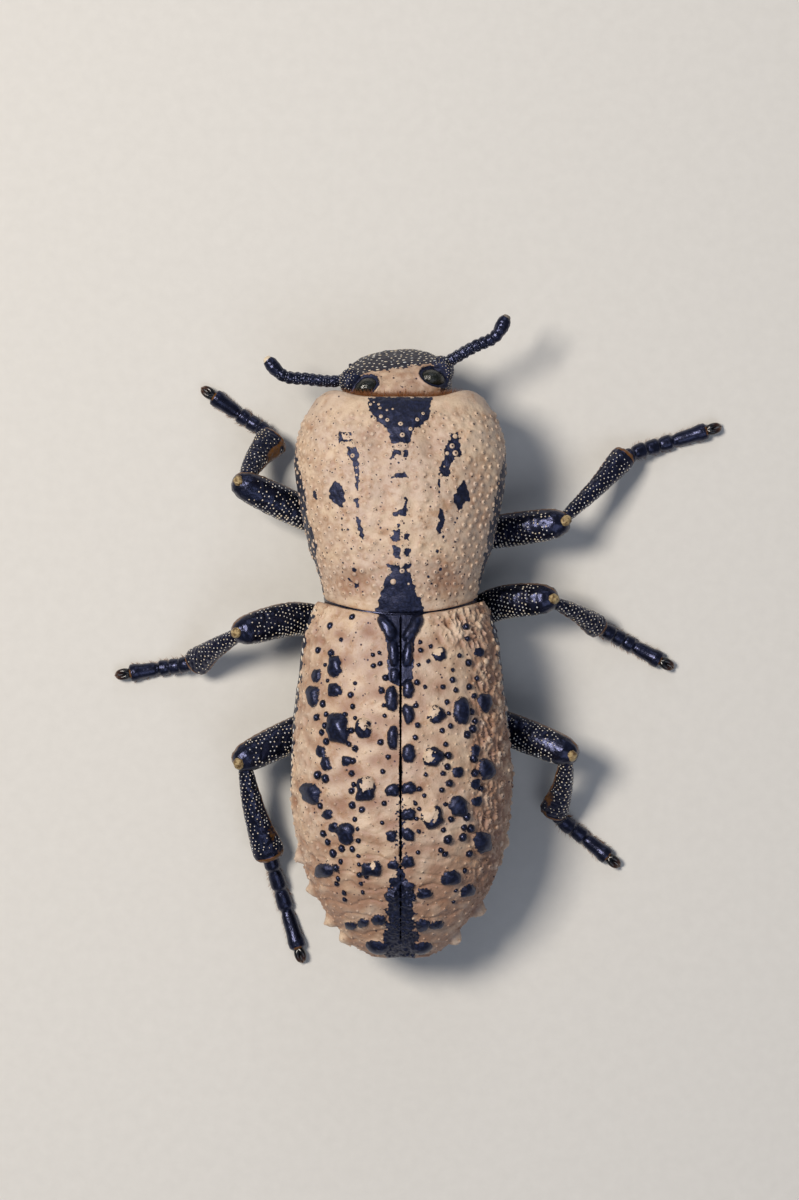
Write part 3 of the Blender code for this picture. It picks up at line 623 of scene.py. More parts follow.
# Radius of a round mark for each pixel of its diameter in the picture.
HALF_PIXEL = 0.032
CREAM_HALF_PIXEL = 0.0322
GRANULE_SPACING = 0.52
GRANULE_RADIUS = 0.135
LOOSE_PORE_SPACING = 0.4
MARGIN_GRANULE_SPACING = 0.5
REAR_CREASE_AT = 2.4
REAR_CREASE_WIDTH = 0.08
REAR_CREASE_DEPTH = 0.03
REAR_LIP = ((2.6, 0.55), (2.15, 0.8), (1.9, 0.93), (1.84, 0.97), (1.87, 0.99))
TOP_SHARE = 0.75
MARK_EDGE = 0.5
BARE_MARGIN_EDGE = 1 / 6
BARE_MARGIN_END = 15.6
BARE_MARGIN = (
    (2.0, 0.05), (4.0, 0.2), (5.5, 0.34), (8.0, 0.37), (10.5, 0.36), (11.5, 0.28), (12.5, 0.12), (13.5, 0.0),
    (15.8, -0.25),
)


def picture_point(px, py, z=BACK_HEIGHT):
    """The place in the animal's frame that a pixel of the picture shows at a height."""
    scale = (CAMERA_HEIGHT - z) / FOCAL_PX
    return (px - MIDLINE_PX) * scale, (PICTURE_MIDDLE[1] - py) * scale + PICTURE_Y


def enlarged_point(cx, cy):
    return picture_point(ENLARGED_CORNER[0] + cx / ENLARGED, ENLARGED_CORNER[1] + cy / ENLARGED)


def outline_distance(x, y, outline):
    """Signed distance in the plan to a closed outline, negative inside it."""
    corners = np.array(outline)
    nearest = np.full(x.shape, np.inf)
    inside = np.zeros(x.shape, bool)
    for (ax, ay), (bx, by) in zip(corners, np.roll(corners, -1, 0)):
        dx, dy = bx - ax, by - ay
        t = np.clip(((x - ax) * dx + (y - ay) * dy) / (dx * dx + dy * dy), 0, 1)
        nearest = np.minimum(nearest, np.hypot(x - ax - t * dx, y - ay - t * dy))
        crosses = (ay > y) != (by > y)
        inside ^= crosses & (x < ax + (y - ay) * dx / (dy if dy else 1e-9))
    return np.where(inside, -nearest, nearest)


def bareness(distance):
    """Half at a mark's edge, rising to 1 inside it and falling to 0 outside."""
    return np.clip(0.5 - distance / MARK_EDGE, 0, 1)


def bowed(grid, edge):
    """The waist joint runs further forward at the sides."""
    edge_y, half = edge
    fade = np.clip(1 - np.abs(grid[..., 1] - edge_y) / REAR_BOW_REACH, 0, 1)
    grid[..., 1] += REAR_BOW * fade * (grid[..., 0] / half) ** 2
    return grid


def section(values, cosine, sine, power=BODY_POWER):
    """Points round a body section from its place, half width, top, margin and underside."""
    y, half, top, margin, under = (values[:, i, None] for i in range(5))
    rise = np.where(sine > 0, top - margin, margin - under)
    x = half * lay_out(cosine, power)
    return np.stack((x, y + 0 * x, margin + rise * lay_out(sine, power)), -1)


def shrunk(row, y, scale):
    """A body row set at another place and drawn in towards the middle of its margin."""
    _, half, top, margin, under = row
    return y, half * scale, margin + (top - margin) * scale, margin, margin + (under - margin) * scale


def scattered(points, spacing, seed, allowed, tries=16000):
    """Indices of allowed points at least a spacing apart, picked in a seeded random order."""
    order = np.random.default_rng(seed).permutation(np.flatnonzero(allowed))[:tries]
    keys = np.floor(points / spacing).astype(int)
    reach = (-1, 0, 1)
    around = [(a, b, c) for a in reach for b in reach for c in reach]
    cells, picked = {}, []
    for i in order:
        key, here = keys[i], points[i]
        near = [j for a, b, c in around for j in cells.get((key[0] + a, key[1] + b, key[2] + c), ())]
        if not near or (((points[near] - here) ** 2).sum(1) > spacing * spacing).all():
            cells.setdefault(tuple(key), []).append(i)
            picked.append(i)
    return np.array(picked, int)


class Relief:
    """A skin's grid with what is raised on it and the marks that its material reads."""

    def __init__(self, grid, outer):
        self.grid = grid
        self.flat = grid.reshape(-1, 3)
        self.normals = grid_normals(grid).reshape(-1, 3)
        self.outer = np.broadcast_to(outer, grid.shape[:2]).ravel()
        self.lift = np.zeros(len(self.flat))
        self.marks = {name: np.zeros(len(self.flat)) for name in ("bare", "gloss", "prick", "stain_and_shade")}
        self.places = np.flatnonzero(self.outer)
        self.tree = tree_of(self.flat[self.places])
        self.seen = np.flatnonzero(self.outer & (self.normals[:, 2] > FACES_UP))
        x, y, z = self.flat[self.seen].T
        nearer = (CAMERA_HEIGHT - BACK_HEIGHT) / (CAMERA_HEIGHT - z)
        self.plan = tree_of(np.stack((x * nearer, (y - PICTURE_Y) * nearer + PICTURE_Y, 0 * z), 1))

    def nearest(self, x, y):
        """The point that the camera sees at a place given for the height of the back."""
        return self.seen[self.plan.find((x, y, 0.0))[1]]

    def around(self, centre, radius):
        found = self.tree.find_range(centre, radius)
        return self.places[[i for _, i, _ in found]], np.array([d for _, _, d in found])

    def darken(self, values, near=slice(None), name="bare"):
        """Raises a mark to at least the given values."""
        self.marks[name][near] = np.maximum(self.marks[name][near], values)

    def dome(self, centre, radius, height, power=2.0):
        near, distance = self.around(centre, radius)
        if len(near):
            self.lift[near] += height * np.clip(1 - (distance / radius) ** 2, 0, 1) ** power

    def spot(self, centre, radius, name="bare"):
        near, distance = self.around(centre, radius + MARK_EDGE / 2)
        if len(near):
            self.darken(bareness(distance - radius), near, name)

    def tops(self, places):
        """Raised points at some places, with their normals."""
        normals = self.normals[places]
        return self.flat[places] + normals * self.lift[places, None], normals

    def skin(self, name):
        raised = self.flat + self.normals * (self.lift * self.outer)[:, None]
        shape = self.grid.shape[:2]
        marks = {key: values.reshape(shape) for key, values in self.marks.items()}
        return grid_skin(name, raised.reshape(self.grid.shape), marks)


def fore_grid(around, rings):
    """The prothorax: rear lip, back and sides, front rim and the socket that holds the neck."""
    top = int(around * TOP_SHARE)
    over = np.linspace(0, np.pi, top, endpoint=False)
    under = np.linspace(np.pi, 2 * np.pi, around - top, endpoint=False)
    turns = np.concatenate((over, under))
    first, last = FORE_BODY[0][0], FORE_BODY[-1][0]
    lip = [shrunk(FORE_BODY[0], y, scale) for y, scale in REAR_LIP]
    places = np.linspace(first, last, rings)
    sides = np.column_stack((places, curve(FORE_BODY, places)))
    front = [(i, *row) for i, row in enumerate((FORE_BODY[-1], *RIM))]
    rim = curve(front, np.linspace(RIM_START, len(RIM), RIM_RINGS))
    grid = section(np.concatenate((lip, sides, rim)), np.cos(turns), np.sin(turns))
    grid = bowed(grid, FORE_EDGE)
    reach = np.clip((grid[..., 1] - CORNER_START) / CORNER_RUN, 0, 1)
    grid[..., 1] += CORNER_REACH * reach * bell(np.abs(grid[..., 0]) - CORNER_AT, CORNER_SPREAD)
    return closed(WAIST_FLOOR, grid, SOCKET_FLOOR), np.sin(turns)


def margin_depth(relief, sine):
    """How far below the upper limit of the black side margin each point lies."""
    limit = curve(BARE_MARGIN, np.clip(relief.flat[:, 1], 2, 15.8))[:, 0]
    above = np.broadcast_to(sine, relief.grid.shape[:2]).ravel()
    return limit - above + 0.05 * ripple(relief.flat, 0.7, 23)


def pronotum_marks(relief, sine):
    """The black figure of the back, its bare margins and the dark marks between."""
    x, y, _ = relief.flat.T
    above = np.broadcast_to(sine, relief.grid.shape[:2]).ravel()
    for outline in PRONOTUM_MARKS:
        points = np.array([enlarged_point(*corner) for corner in outline])
        (left, back), (right, front) = points.min(0) - 1, points.max(0) + 1
        near = (above > 0) & (x > left) & (x < right) & (y > back) & (y < front)
        ragged = 0.06 * ripple(relief.flat[near], 0.5, 21) + 0.02 * ripple(relief.flat[near], 0.2, 22)
        relief.darken(bareness(outline_distance(x[near], y[near], points) + ragged), near)
    for across, down, size in PRONOTUM_SPOTS:
        here = relief.nearest(*enlarged_point(across, down))
        relief.spot(relief.flat[here], size / ENLARGED * HALF_PIXEL)
    below = margin_depth(relief, sine)
    relief.darken(np.clip(0.5 + below / BARE_MARGIN_EDGE, 0, 1) * (y < BARE_MARGIN_END))


def pronotum_relief(relief, sine, seed):
    """Hills, hollows and close granules, with painted shade browning the hollows and a ring round each
    granule, and brown stains at random.
    """
    x, y, _ = relief.flat.T
    above = np.broadcast_to(sine, relief.grid.shape[:2]).ravel() > 0.02
    for at_x, at_y, wide, long, height in PRONOTUM_RELIEF:
        relief.lift += above * height * bell(x - at_x, wide) * bell(y - at_y, long)
    relief.lift += 0.035 * ripple(relief.flat, 1.5, seed) + 0.02 * ripple(relief.flat, 0.7, seed + 1)
    bow = REAR_BOW * (x / FORE_EDGE[1]) ** 2 * np.clip(1 - np.abs(y - REAR_CREASE_AT) / REAR_BOW_REACH, 0, 1)
    rear = y - bow
    crease = bell(rear - REAR_CREASE_AT, REAR_CREASE_WIDTH) * above * (relief.marks["bare"] < 0.5)
    relief.lift -= REAR_CREASE_DEPTH * crease
    rng = np.random.default_rng(seed)
    middle = bell(x, 1.9) * smooth(5, 7, y) * smooth(14.5, 12.5, y)
    corner = smooth(14.2, 15.2, y)
    open_places = relief.outer & (relief.marks["bare"] < 0.35) & (rear > 2.7) & (corner < 0.6)
    picked = scattered(relief.flat, GRANULE_SPACING, seed, open_places)
    picked = picked[rng.uniform(size=len(picked)) > 0.3 * middle[picked]]
    flank = smooth(2.5, 5.5, np.abs(x[picked]))
    radii = GRANULE_RADIUS * rng.uniform(0.75, 1.2, len(picked)) * (1 + 0.15 * flank - 0.25 * middle[picked])
    # ring is painted shade round the foot of each granule.
    ring = np.zeros(len(x))
    for i, radius in zip(picked, radii):
        relief.dome(relief.flat[i], radius * 2.1, radius * 0.3, 1.5)
        near, distance = relief.around(relief.flat[i], radius * 2.4)
        ring[near] += bell(distance / radius - 1.5, 0.45)
    waxed = relief.outer & (relief.marks["bare"] < 0.3) & (corner < 0.9)
    for i in scattered(relief.flat, LOOSE_PORE_SPACING, seed + 5, waxed)[::3]:
        relief.marks["prick"][i] = rng.uniform(0.7, 2.0)
    # Painted shade in low places, in the two hollows near the rear lip and round each granule, and painted
    # light on raised places. The ripple adds brown stain at random.
    hollow = -relief.lift * 4 + 0.35 * ripple(relief.flat, 1.1, seed + 9)
    base = bell(np.abs(x) - 3.0, 1.3) * bell(y - 3.9, 1.0)
    relief.marks["stain_and_shade"] = np.clip(0.12 + 0.35 * hollow + 0.45 * base + 0.4 * ring, 0, 1)
    relief.lift *= 1 - 0.8 * smooth(15.55, 15.75, y)
    return picked, radii


def clear_of(points, centres, reach):
    """Which points stand further than a reach from every centre."""
    return np.min([np.linalg.norm(points - centre, axis=1) for centre in centres], axis=0) > reach


def studs(name, relief, places, radii, flat, pored, rng):
    """Granules of the crust, a share of them with a dark pore at the top."""
    template = bead("granule")
    tops = read_points(template)[:, 2] > 0.95
    sunk = (relief.lift[places] - 0.15 * radii)[:, None]
    points = relief.flat[places] + relief.normals[places] * sunk
    scale = np.stack((radii, radii, radii * flat), 1)
    # Each granule takes the skin's stain_and_shade mark, painted shade included, less 0.3, so it stands
    # paler than the crust round it.
    stain_and_shade = np.clip(relief.marks["stain_and_shade"][places] - 0.3, 0, 1)
    mesh = copies(name, template, frames_on(points, relief.normals[places], scale), {"stain_and_shade": stain_and_shade})
    pores = rng.uniform(0.8, 2.2, len(places)) * (rng.uniform(size=len(places)) < pored)
    set_mark(mesh, "prick", np.outer(pores, tops))
    return mesh


def breast_places(relief):
    """Where granules stand on the underside of the prothorax: clear of its ends and of the hips."""
    y, z = relief.flat[:, 1], relief.flat[:, 2]
    breast = (relief.normals[:, 2] < -0.2) & (y > 3.2) & (y < 15.0) & (z < 5.5)
    hips = [coxa_centre(leg.hip) for name, leg in LEGS.items() if name.startswith("fore")]
    return breast & clear_of(relief.flat, hips, FORE_HIP_REACH)


def build_pronotum(sizes, looks):
    grid, sine = fore_grid(sizes.pronotum_around, sizes.pronotum_rings)
    ring = np.arange(len(grid))[:, None]
    outer = (sine > -0.6)[None, :] & (ring > len(REAR_LIP)) & (ring < len(grid) - HIDDEN_RIM_RINGS)
    relief = Relief(grid, outer)
    pronotum_marks(relief, sine)
    places, radii = pronotum_relief(relief, sine, sizes.seed)
    rng = np.random.default_rng(sizes.seed + 4)
    cream = [relief.nearest(*enlarged_point(across, down)) for across, down, _ in CREAM_IN_MARKS]
    cream_radii = [size / ENLARGED * CREAM_HALF_PIXEL for _, _, size in CREAM_IN_MARKS]
    y, z = relief.flat[:, 1], relief.flat[:, 2]
    low = ((z < 6.4) | (margin_depth(relief, sine) > 0.03)) & (y > 2.3) & relief.outer
    below = scattered(relief.flat, MARGIN_GRANULE_SPACING, sizes.seed + 3, low | breast_places(relief))
    places = np.concatenate((places, cream, below)).astype(int)
    radii = np.concatenate((radii, cream_radii, rng.uniform(0.09, 0.15, len(below))))
    mesh = relief.skin("prothorax_skin")
    make_piece("prothorax_skin", mesh, looks, waxed_cuticle, "tan_crust", "prothorax")
    grains = studs("prothorax_granules", relief, places, radii, 0.52, 0.75, rng)
    make_piece("prothorax_granules", grains, looks, waxed_cuticle, "tan_crust")


# Tubercles of the wing cases: distance out from the suture, place along the body, width and length, then
# for some the degrees that their front is turned out and how much of the top is worn to cream wax.
TUBERCLES = {
    "left": (
        (0.85, 0.85, 0.8, 1.7, 28), (0.45, -0.75, 0.6, 1.6, 6), (0.4, -2.2, 0.5, 0.9),
        (0.55, -3.7, 0.8, 1.6), (0.5, -6.2, 0.7, 1.5), (0.5, -9.6, 0.8, 0.9), (0.6, -12.5, 0.7, 0.7),
        (0.5, -14.4, 0.7, 0.6), (0.6, -16.4, 0.8, 0.8), (2.4, -5.6, 1.1, 1.2, 0, 0.3),
        (2.2, -9.5, 1.25, 1.4, 0, 0.36), (1.8, -14.6, 1.3, 0.9, 0, 0.24), (1.4, -17.9, 0.9, 0.7),
        (4.2, -1.6, 0.9, 1.4), (4.2, -3.1, 0.9, 0.9), (4.0, -5.6, 1.3, 2.0), (3.5, -7.7, 0.6, 0.7),
        (3.5, -12.3, 1.1, 1.4), (2.4, -18.1, 0.7, 0.6), (5.4, -2.2, 0.6, 0.8), (5.6, -3.5, 0.8, 1.3),
        (5.1, -7.1, 0.7, 0.7), (4.8, -7.9, 0.6, 1.0), (5.7, -9.8, 1.2, 1.4), (4.7, -11.1, 0.6, 0.7),
        (4.3, -12.0, 0.6, 0.7), (4.9, -14.7, 1.1, 1.0), (3.2, -18.3, 0.7, 0.6),
    ),
    "right": (
        (0.85, 0.85, 0.8, 1.7, 28), (0.45, -0.8, 0.6, 1.6, 6), (0.5, -3.1, 0.7, 1.3),
        (0.5, -4.6, 0.7, 1.3), (0.5, -7.2, 0.8, 1.3), (0.5, -9.4, 0.9, 0.8), (0.5, -11.1, 0.9, 0.8),
        (0.5, -12.4, 0.8, 0.8), (0.5, -14.2, 0.9, 0.7), (0.5, -15.7, 0.7, 0.6),
        (2.5, -0.8, 0.9, 0.8, -20, 0.4), (2.3, -4.7, 1.1, 1.1, -60, 0.42), (2.1, -7.4, 1.2, 1.3, -55, 0.4),
        (2.0, -11.3, 1.3, 1.3, -25, 0.46), (1.5, -16.2, 0.9, 0.7), (1.4, -18.2, 0.9, 0.8),
        (3.9, -4.5, 1.0, 1.8), (3.7, -8.4, 0.7, 0.7), (3.7, -10.6, 1.1, 1.4), (3.2, -15.2, 1.2, 1.0),
        (2.3, -18.2, 0.9, 0.6), (5.0, -0.7, 0.6, 0.6), (5.4, -3.9, 0.8, 1.3), (4.8, -7.0, 0.6, 0.7),
        (5.5, -8.2, 0.9, 1.5), (4.8, -9.2, 0.7, 0.6), (4.9, -10.3, 0.6, 0.7), (5.2, -12.9, 1.1, 1.4),
        (4.3, -16.0, 1.0, 0.8),
    ),
}
TUBERCLE_RISE = 0.38
MARGIN_KNOBS = {
    "left": ((-14.0, 0.42), (-16.2, 0.4), (-18.2, 0.42), (-19.4, 0.42)),
    "right": ((-13.2, 0.36), (-17.5, 0.44), (-19.4, 0.42)),
}
KNOB_ABOVE_MARGIN = 0.5
TIP_NODULES = {"left": (1.5, -19.9, 7.0, 0.8), "right": (1.35, -19.95, 7.0, 0.75)}
# Half width of the black zone along the suture, from the front back and from the tip forward.
BLACK_BASE = (
    (-2.9, 0.0), (-2.6, 0.62), (-1.85, 0.78), (0.13, 0.95), (1.0, 1.25), (1.9, 1.5),
)
BLACK_TIP = (
    (-20.6, 0.95), (-19.5, 1.1), (-18.2, 0.9), (-17.0, 0.8), (-15.9, 0.85), (-15.2, 0.35), (-14.6, 0.0),
)
SUTURE_HALF = 0.02
SUTURE_GROOVE = 0.06
# Small black granules of the wing cases: pixel across, pixel down and diameter in pixels.
BLACK_GRANULES = (
    (331, 652.6, 7), (323.8, 704.4, 7), (351, 695, 6), (352.5, 706, 5), (355.7, 683, 4), (319, 651, 6),
    (325.4, 664.6, 4), (327.8, 681.3, 4), (352.5, 617.5, 6), (330.2, 626.3, 7), (341.4, 639.9, 4),
    (373.3, 665.4, 5), (380.4, 663.8, 5), (379.6, 652.6, 4), (373.3, 655, 4), (386, 678, 6),
    (381.2, 690, 6), (383.6, 705.2, 4), (317.1, 717.1, 7), (326.3, 714.4, 5), (324.7, 725.3, 6),
    (321.5, 732.8, 6.5), (326.9, 742, 7), (351.8, 730.7, 6), (349, 744, 5), (355.6, 748.6, 6),
    (355, 718, 4), (345.3, 715, 5), (352.4, 761.6, 6), (351.8, 773.5, 6), (318.7, 775.1, 8),
    (326.3, 779, 8), (321, 806, 6), (351.3, 790.9, 6), (354, 784.4, 5), (351.8, 805, 7), (361.6, 809.3, 6),
    (354.5, 819, 5), (323.6, 833.2, 7), (328, 841.8, 6), (332.8, 853.2, 8), (342, 848.4, 7),
    (352.9, 848.4, 6), (358.3, 840.8, 5), (357.8, 828.8, 4), (358.3, 856, 4), (384.4, 716, 4),
    (381.1, 742.6, 6), (388.2, 756.7, 5), (382.7, 771.9, 5), (384.4, 803.9, 5), (381.6, 822.9, 4),
    (338.4, 878.4, 5), (337, 883.7, 5), (359.7, 874.5, 5.5), (366.3, 876.4, 4.5), (359, 864, 4),
    (340.6, 862, 5), (361, 883.6, 4), (344.3, 892.8, 5), (363.3, 892, 4), (345, 899.4, 5),
    (336.2, 867.9, 7), (420.3, 642.3, 4), (430.7, 646.2, 4), (420.3, 651, 5), (428.3, 661.4, 4),
    (418.7, 664.6, 3.5), (459.4, 655, 4.5), (465.7, 627, 6), (467.3, 639, 5), (468.1, 663, 7),
    (452.2, 669.4, 4), (452.2, 679.7, 5.5), (476.9, 678, 5), (416.3, 682.9, 5.5), (425.1, 686.9, 4),
    (442.6, 687, 5), (455.4, 690, 5), (469, 687, 6), (473.7, 695.7, 5), (446.6, 702, 5), (416.3, 706, 5),
    (471.3, 711.7, 6), (474, 721.5, 6.5), (471.9, 729.6, 8), (466.5, 735, 7), (474, 758.3, 8),
    (449.6, 725.8, 5), (448.6, 713.9, 4), (418.2, 724.7, 5), (415, 737.7, 5), (441.5, 731.2, 5),
    (445.9, 743.7, 5), (448, 755.6, 7), (446.9, 767, 6), (442.6, 773.5, 5), (474.6, 772.4, 8),
    (480, 788.7, 6), (449.6, 783.8, 7), (442, 790.3, 5), (465.9, 816.9, 8), (451.3, 819, 6),
    (445.3, 804.4, 4), (470.3, 828.3, 8), (463.8, 827.7, 6), (462.7, 837.5, 8), (468.6, 853.8, 7),
    (448, 839.7, 9), (443, 830.5, 5), (441, 850.5, 5), (445.3, 853.8, 6), (425.8, 774.6, 4),
    (419.3, 789, 5), (424.2, 795.2, 4), (415.5, 803.3, 4), (419.8, 809.3, 4), (416, 819, 4),
    (418.2, 831, 4), (418.2, 852.7, 4), (464.6, 870.8, 5), (455.8, 890.6, 4), (453.6, 902.3, 4),
    (414, 898.7, 4),
)
# Rings stand closer towards the tip. The inner wall is drawn in by a share.
CASE_CROWDING = 1.12
CASE_INSIDE = 0.87
CREASE_SPACING = 0.95
CREASE_DEPTH = 0.075
CASE_GRANULE_SPACING = 0.6
CASE_GRANULE_RADIUS = 0.09
CASE_PORE_SPACING = 0.5
BEAD_CLEARANCE = 0.42
# The side line reaches SIDE_LINE_TOP above the margin, and fades out between two places on each side.
SIDE_LINE_TOP = 1.75
SIDE_LINE_FADE = {"left": (-12.5, -8.0), "right": (-9.5, -5.0)}
DASHES_FROM = {"left": -9.2, "right": -6.6}
DASHES_TO = 1.4
DASH_SPACING = 0.55
DASH_RISE = 1.45
DASH_INSET = 0.13


def lower_edge(y):
    """Height of the seam between wing cases and underside."""
    (y1, z1), (y2, z2) = CASE_EDGE_FRONT, CASE_EDGE_REAR
    return z1 + (z2 - z1) * (y - y1) / (y2 - y1)


def seam_fold(values, seam):
    """The angle below the margin at which each section meets the seam."""
    margin, under = values[:, 3], values[:, 4]
    fall = np.clip((margin - seam) / (margin - under), 0.02, 0.95)
    return np.arcsin(fall ** (BODY_POWER / 2))[:, None]


def case_grid(sign, sizes):
    """One wing case as a closed shell: over the back, down to its folded edge and back inside."""
    first, last = HIND_BODY[0][0], HIND_BODY[-1][0]
    places = first + (last - first) * np.linspace(0, 1, sizes.case_rings) ** CASE_CROWDING
    values = np.column_stack((places, curve(HIND_BODY, places)))
    fold = seam_fold(values, lower_edge(places))
    margin = values[:, 3, None]
    share = np.linspace(0, 1, sizes.case_over)
    turns = np.pi / 2 - share[None, :] * (np.pi / 2 + fold)
    over = section(values, np.cos(turns), np.sin(turns))
    inner_turns = np.pi / 2 - np.linspace(1, 0, sizes.case_inside)[None, :] * (np.pi / 2 + fold)
    inner = section(values, np.cos(inner_turns), np.sin(inner_turns))
    inner[..., 0] *= CASE_INSIDE
    inner[..., 2] = margin + (inner[..., 2] - margin) * CASE_INSIDE
    grid = np.concatenate((over, inner), 1)
    grid[..., 0] = SUTURE_HALF / 2 + grid[..., 0] * (1 - SUTURE_HALF / 10)
    grid[..., 0] *= sign
    grid = bowed(grid, HIND_EDGE)
    return closed((sign * 0.9, first - 0.12, 5.0), grid, grid[-1].mean(0) + (0, 0.02, 0)), share


def tubercle(relief, sign, rng, out, y, width, length, turn_out=0, worn=0):
    """A rounded, uneven black blob; a worn one keeps its black only behind a cream top."""
    centre = relief.flat[relief.nearest(sign * out, y)]
    near, _ = relief.around(centre, max(width, length) * 1.1 + 0.3)
    offset = relief.flat[near] - centre
    lean = math.radians(turn_out) * sign
    u = offset @ (math.cos(lean), -math.sin(lean), 0.0)
    v = offset @ (math.sin(lean), math.cos(lean), 0.0)
    turn = np.arctan2(v, u)
    wobble = 1.0
    for lobes in (2, 3, 5, 7):
        wobble = wobble + rng.uniform(0.02, 0.26 / lobes) * np.sin(lobes * turn + rng.uniform(0, 6.3))
    square = 4.5 if width > 1.2 else 2.6
    reach = (np.abs(2 * u / width) ** square + np.abs(2 * v / length) ** square) ** (1 / square) * wobble
    narrow = min(width, length)
    profile = np.clip(1 - np.clip(reach - 0.05, 0, None) ** 2.6, 0, 1) ** 0.7
    relief.lift[near] += TUBERCLE_RISE * (width + length) / 2 * profile * (1 + 0.06 * np.sin(5 * u + 4 * v))
    edge = bareness((reach - 1.0) * narrow / 2)
    if worn:
        seed = int(abs(y) * 10)
        top = 1.12 * np.hypot(u + 0.05 * width * sign, v - 0.26 * length) / narrow
        top += 0.1 * ripple(offset, 0.5, seed) + 0.09 * ripple(offset, 0.2, seed + 1)
        speckle = smooth(-0.25, 0.35, ripple(offset, 0.4, seed + 2) - 0.5 * v / length)
        edge = edge * np.maximum(smooth(worn - 0.12, worn + 0.06, top), smooth(0.76, 0.9, reach) * speckle)
        relief.marks["stain_and_shade"][near] -= 1.5 * profile
    relief.darken(edge, near)
    relief.darken(np.clip(1.6 * (1 - reach), 0, 1), near, "gloss")


def black_zone(relief):
    """Bareness of the black zone on the suture: broad at the base and the tip, a thin line between."""
    x, y, _ = relief.flat.T
    out = np.abs(x)
    base = curve(BLACK_BASE, np.clip(y, BLACK_BASE[0][0], BLACK_BASE[-1][0]))[:, 0]
    tip = curve(BLACK_TIP, np.clip(y, BLACK_TIP[0][0], BLACK_TIP[-1][0]))[:, 0]
    half = np.where(y > -9, base, tip)
    rear = smooth(-13.5, -15.5, y)
    ragged = 0.05 * ripple(relief.flat, 0.4, 32)
    ragged += rear * (0.16 * ripple(relief.flat, 0.7, 31) + 0.12 * ripple(relief.flat, 0.28, 36))
    zone = bareness(out - half - ragged)
    zone[half <= 0.001] = 0
    dust = smooth(0.0, 0.7, ripple(relief.flat, 0.25, 35)) * smooth(-7, -11, y)
    line = bareness(out + 0.02 - 0.06 * ripple(relief.flat, 0.45, 33) - 0.42 * dust)
    return zone, line, rear


def case_marks(relief, side, rng):
    """The black zone on the suture and every tubercle and knob."""
    y, z = relief.flat[:, 1], relief.flat[:, 2]
    zone, line, rear = black_zone(relief)
    top = z > 8 - 3.5 * smooth(-16, -20, y)
    relief.marks["bare"] = np.maximum(zone, line) * top
    relief.marks["gloss"] += 0.45 * zone
    relief.lift += 0.11 * rear * zone * np.abs(ripple(relief.flat, 0.5, 34)) * top
    sign = SIGN[side]
    for row in TUBERCLES[side]:
        tubercle(relief, sign, rng, *row)
    for place, radius in MARGIN_KNOBS[side]:
        wide, _, margin, _ = curve(HIND_BODY, [place])[0]
        centre = (sign * (wide - radius / 4), place, margin + KNOB_ABOVE_MARGIN)
        relief.dome(centre, radius * 1.5, radius * 1.2, 1.1)
    out_at, place, height, radius = TIP_NODULES[side]
    centre = (sign * out_at, place, height)
    relief.dome(centre, radius * 1.05, radius * 0.55, 0.8)
    relief.spot(centre, radius * 0.98)
    relief.spot(centre, radius * 0.85, "gloss")


def case_relief(relief, side, sizes, rng):
    """Creases, wrinkled flanks and the small tan granules between the tubercles."""
    x, y, z = relief.flat.T
    out = np.abs(x)
    right = side == "right"
    free = 1 - relief.marks["bare"]
    flank = smooth(3.9, 5.9, out) * (1.0 if right else 0.42)
    front = smooth(-1.5, 1.0, y) * smooth(1.5, 3.5, out) * (1.0 if right else 0.35)
    ridges = 1 - 2 * np.abs(ripple(relief.flat * (1.0, 0.75, 1.0), 1.0, 41))
    fine = 1 - 2 * np.abs(ripple(relief.flat, 0.55, 42))
    relief.lift += free * np.clip(flank + front, 0, 1) * (0.11 * ridges + 0.05 * fine)
    relief.lift += free * (0.045 * ripple(relief.flat, 1.9, 43) + 0.02 * ripple(relief.flat, 0.8, 44))
    crease = np.sin(2 * np.pi * (y + 0.25 * ripple(relief.flat, 2.2, 45)) / CREASE_SPACING)
    creased = smooth(-9.5, -15.5, y) * np.clip(crease, 0, 1) ** 3 * smooth(0.3, 1.2, out)
    relief.lift -= free * CREASE_DEPTH * creased
    places = relief.outer & (relief.marks["bare"] < 0.2) & (out > 0.5)
    picked = scattered(relief.flat, CASE_GRANULE_SPACING, sizes.seed + 11, places)
    radii = CASE_GRANULE_RADIUS * rng.uniform(0.7, 1.25, len(picked)) * (1 + 1.1 * flank[picked])
    for i, radius in zip(picked, radii):
        relief.dome(relief.flat[i], radius * 2.2, radius * 0.35, 1.5)
    for i in scattered(relief.flat, CASE_PORE_SPACING, sizes.seed + 12, places)[::4]:
        relief.marks["prick"][i] = rng.uniform(0.7, 1.8)
    # Brown stains that grow towards the tip and vary at random. Painted shade on the right flank, away from
    # the light, and in low places. Painted light makes raised places paler.
    stain_and_shade = 0.46 + 0.42 * smooth(-12, -16, y) + (0.6 * flank if right else 0.0)
    stain_and_shade = stain_and_shade + 0.35 * ripple(relief.flat, 1.5, 46) - 2.6 * relief.lift * free
    relief.marks["stain_and_shade"] = np.clip(relief.marks["stain_and_shade"] + np.clip(stain_and_shade, 0, 1), 0, 1)
    relief.lift -= SUTURE_GROOVE * bell(out, 0.09) * (z > 8)
    relief.lift *= smooth(1.78, 1.5, y - REAR_BOW * (x / HIND_EDGE[1]) ** 2)
    return picked, radii


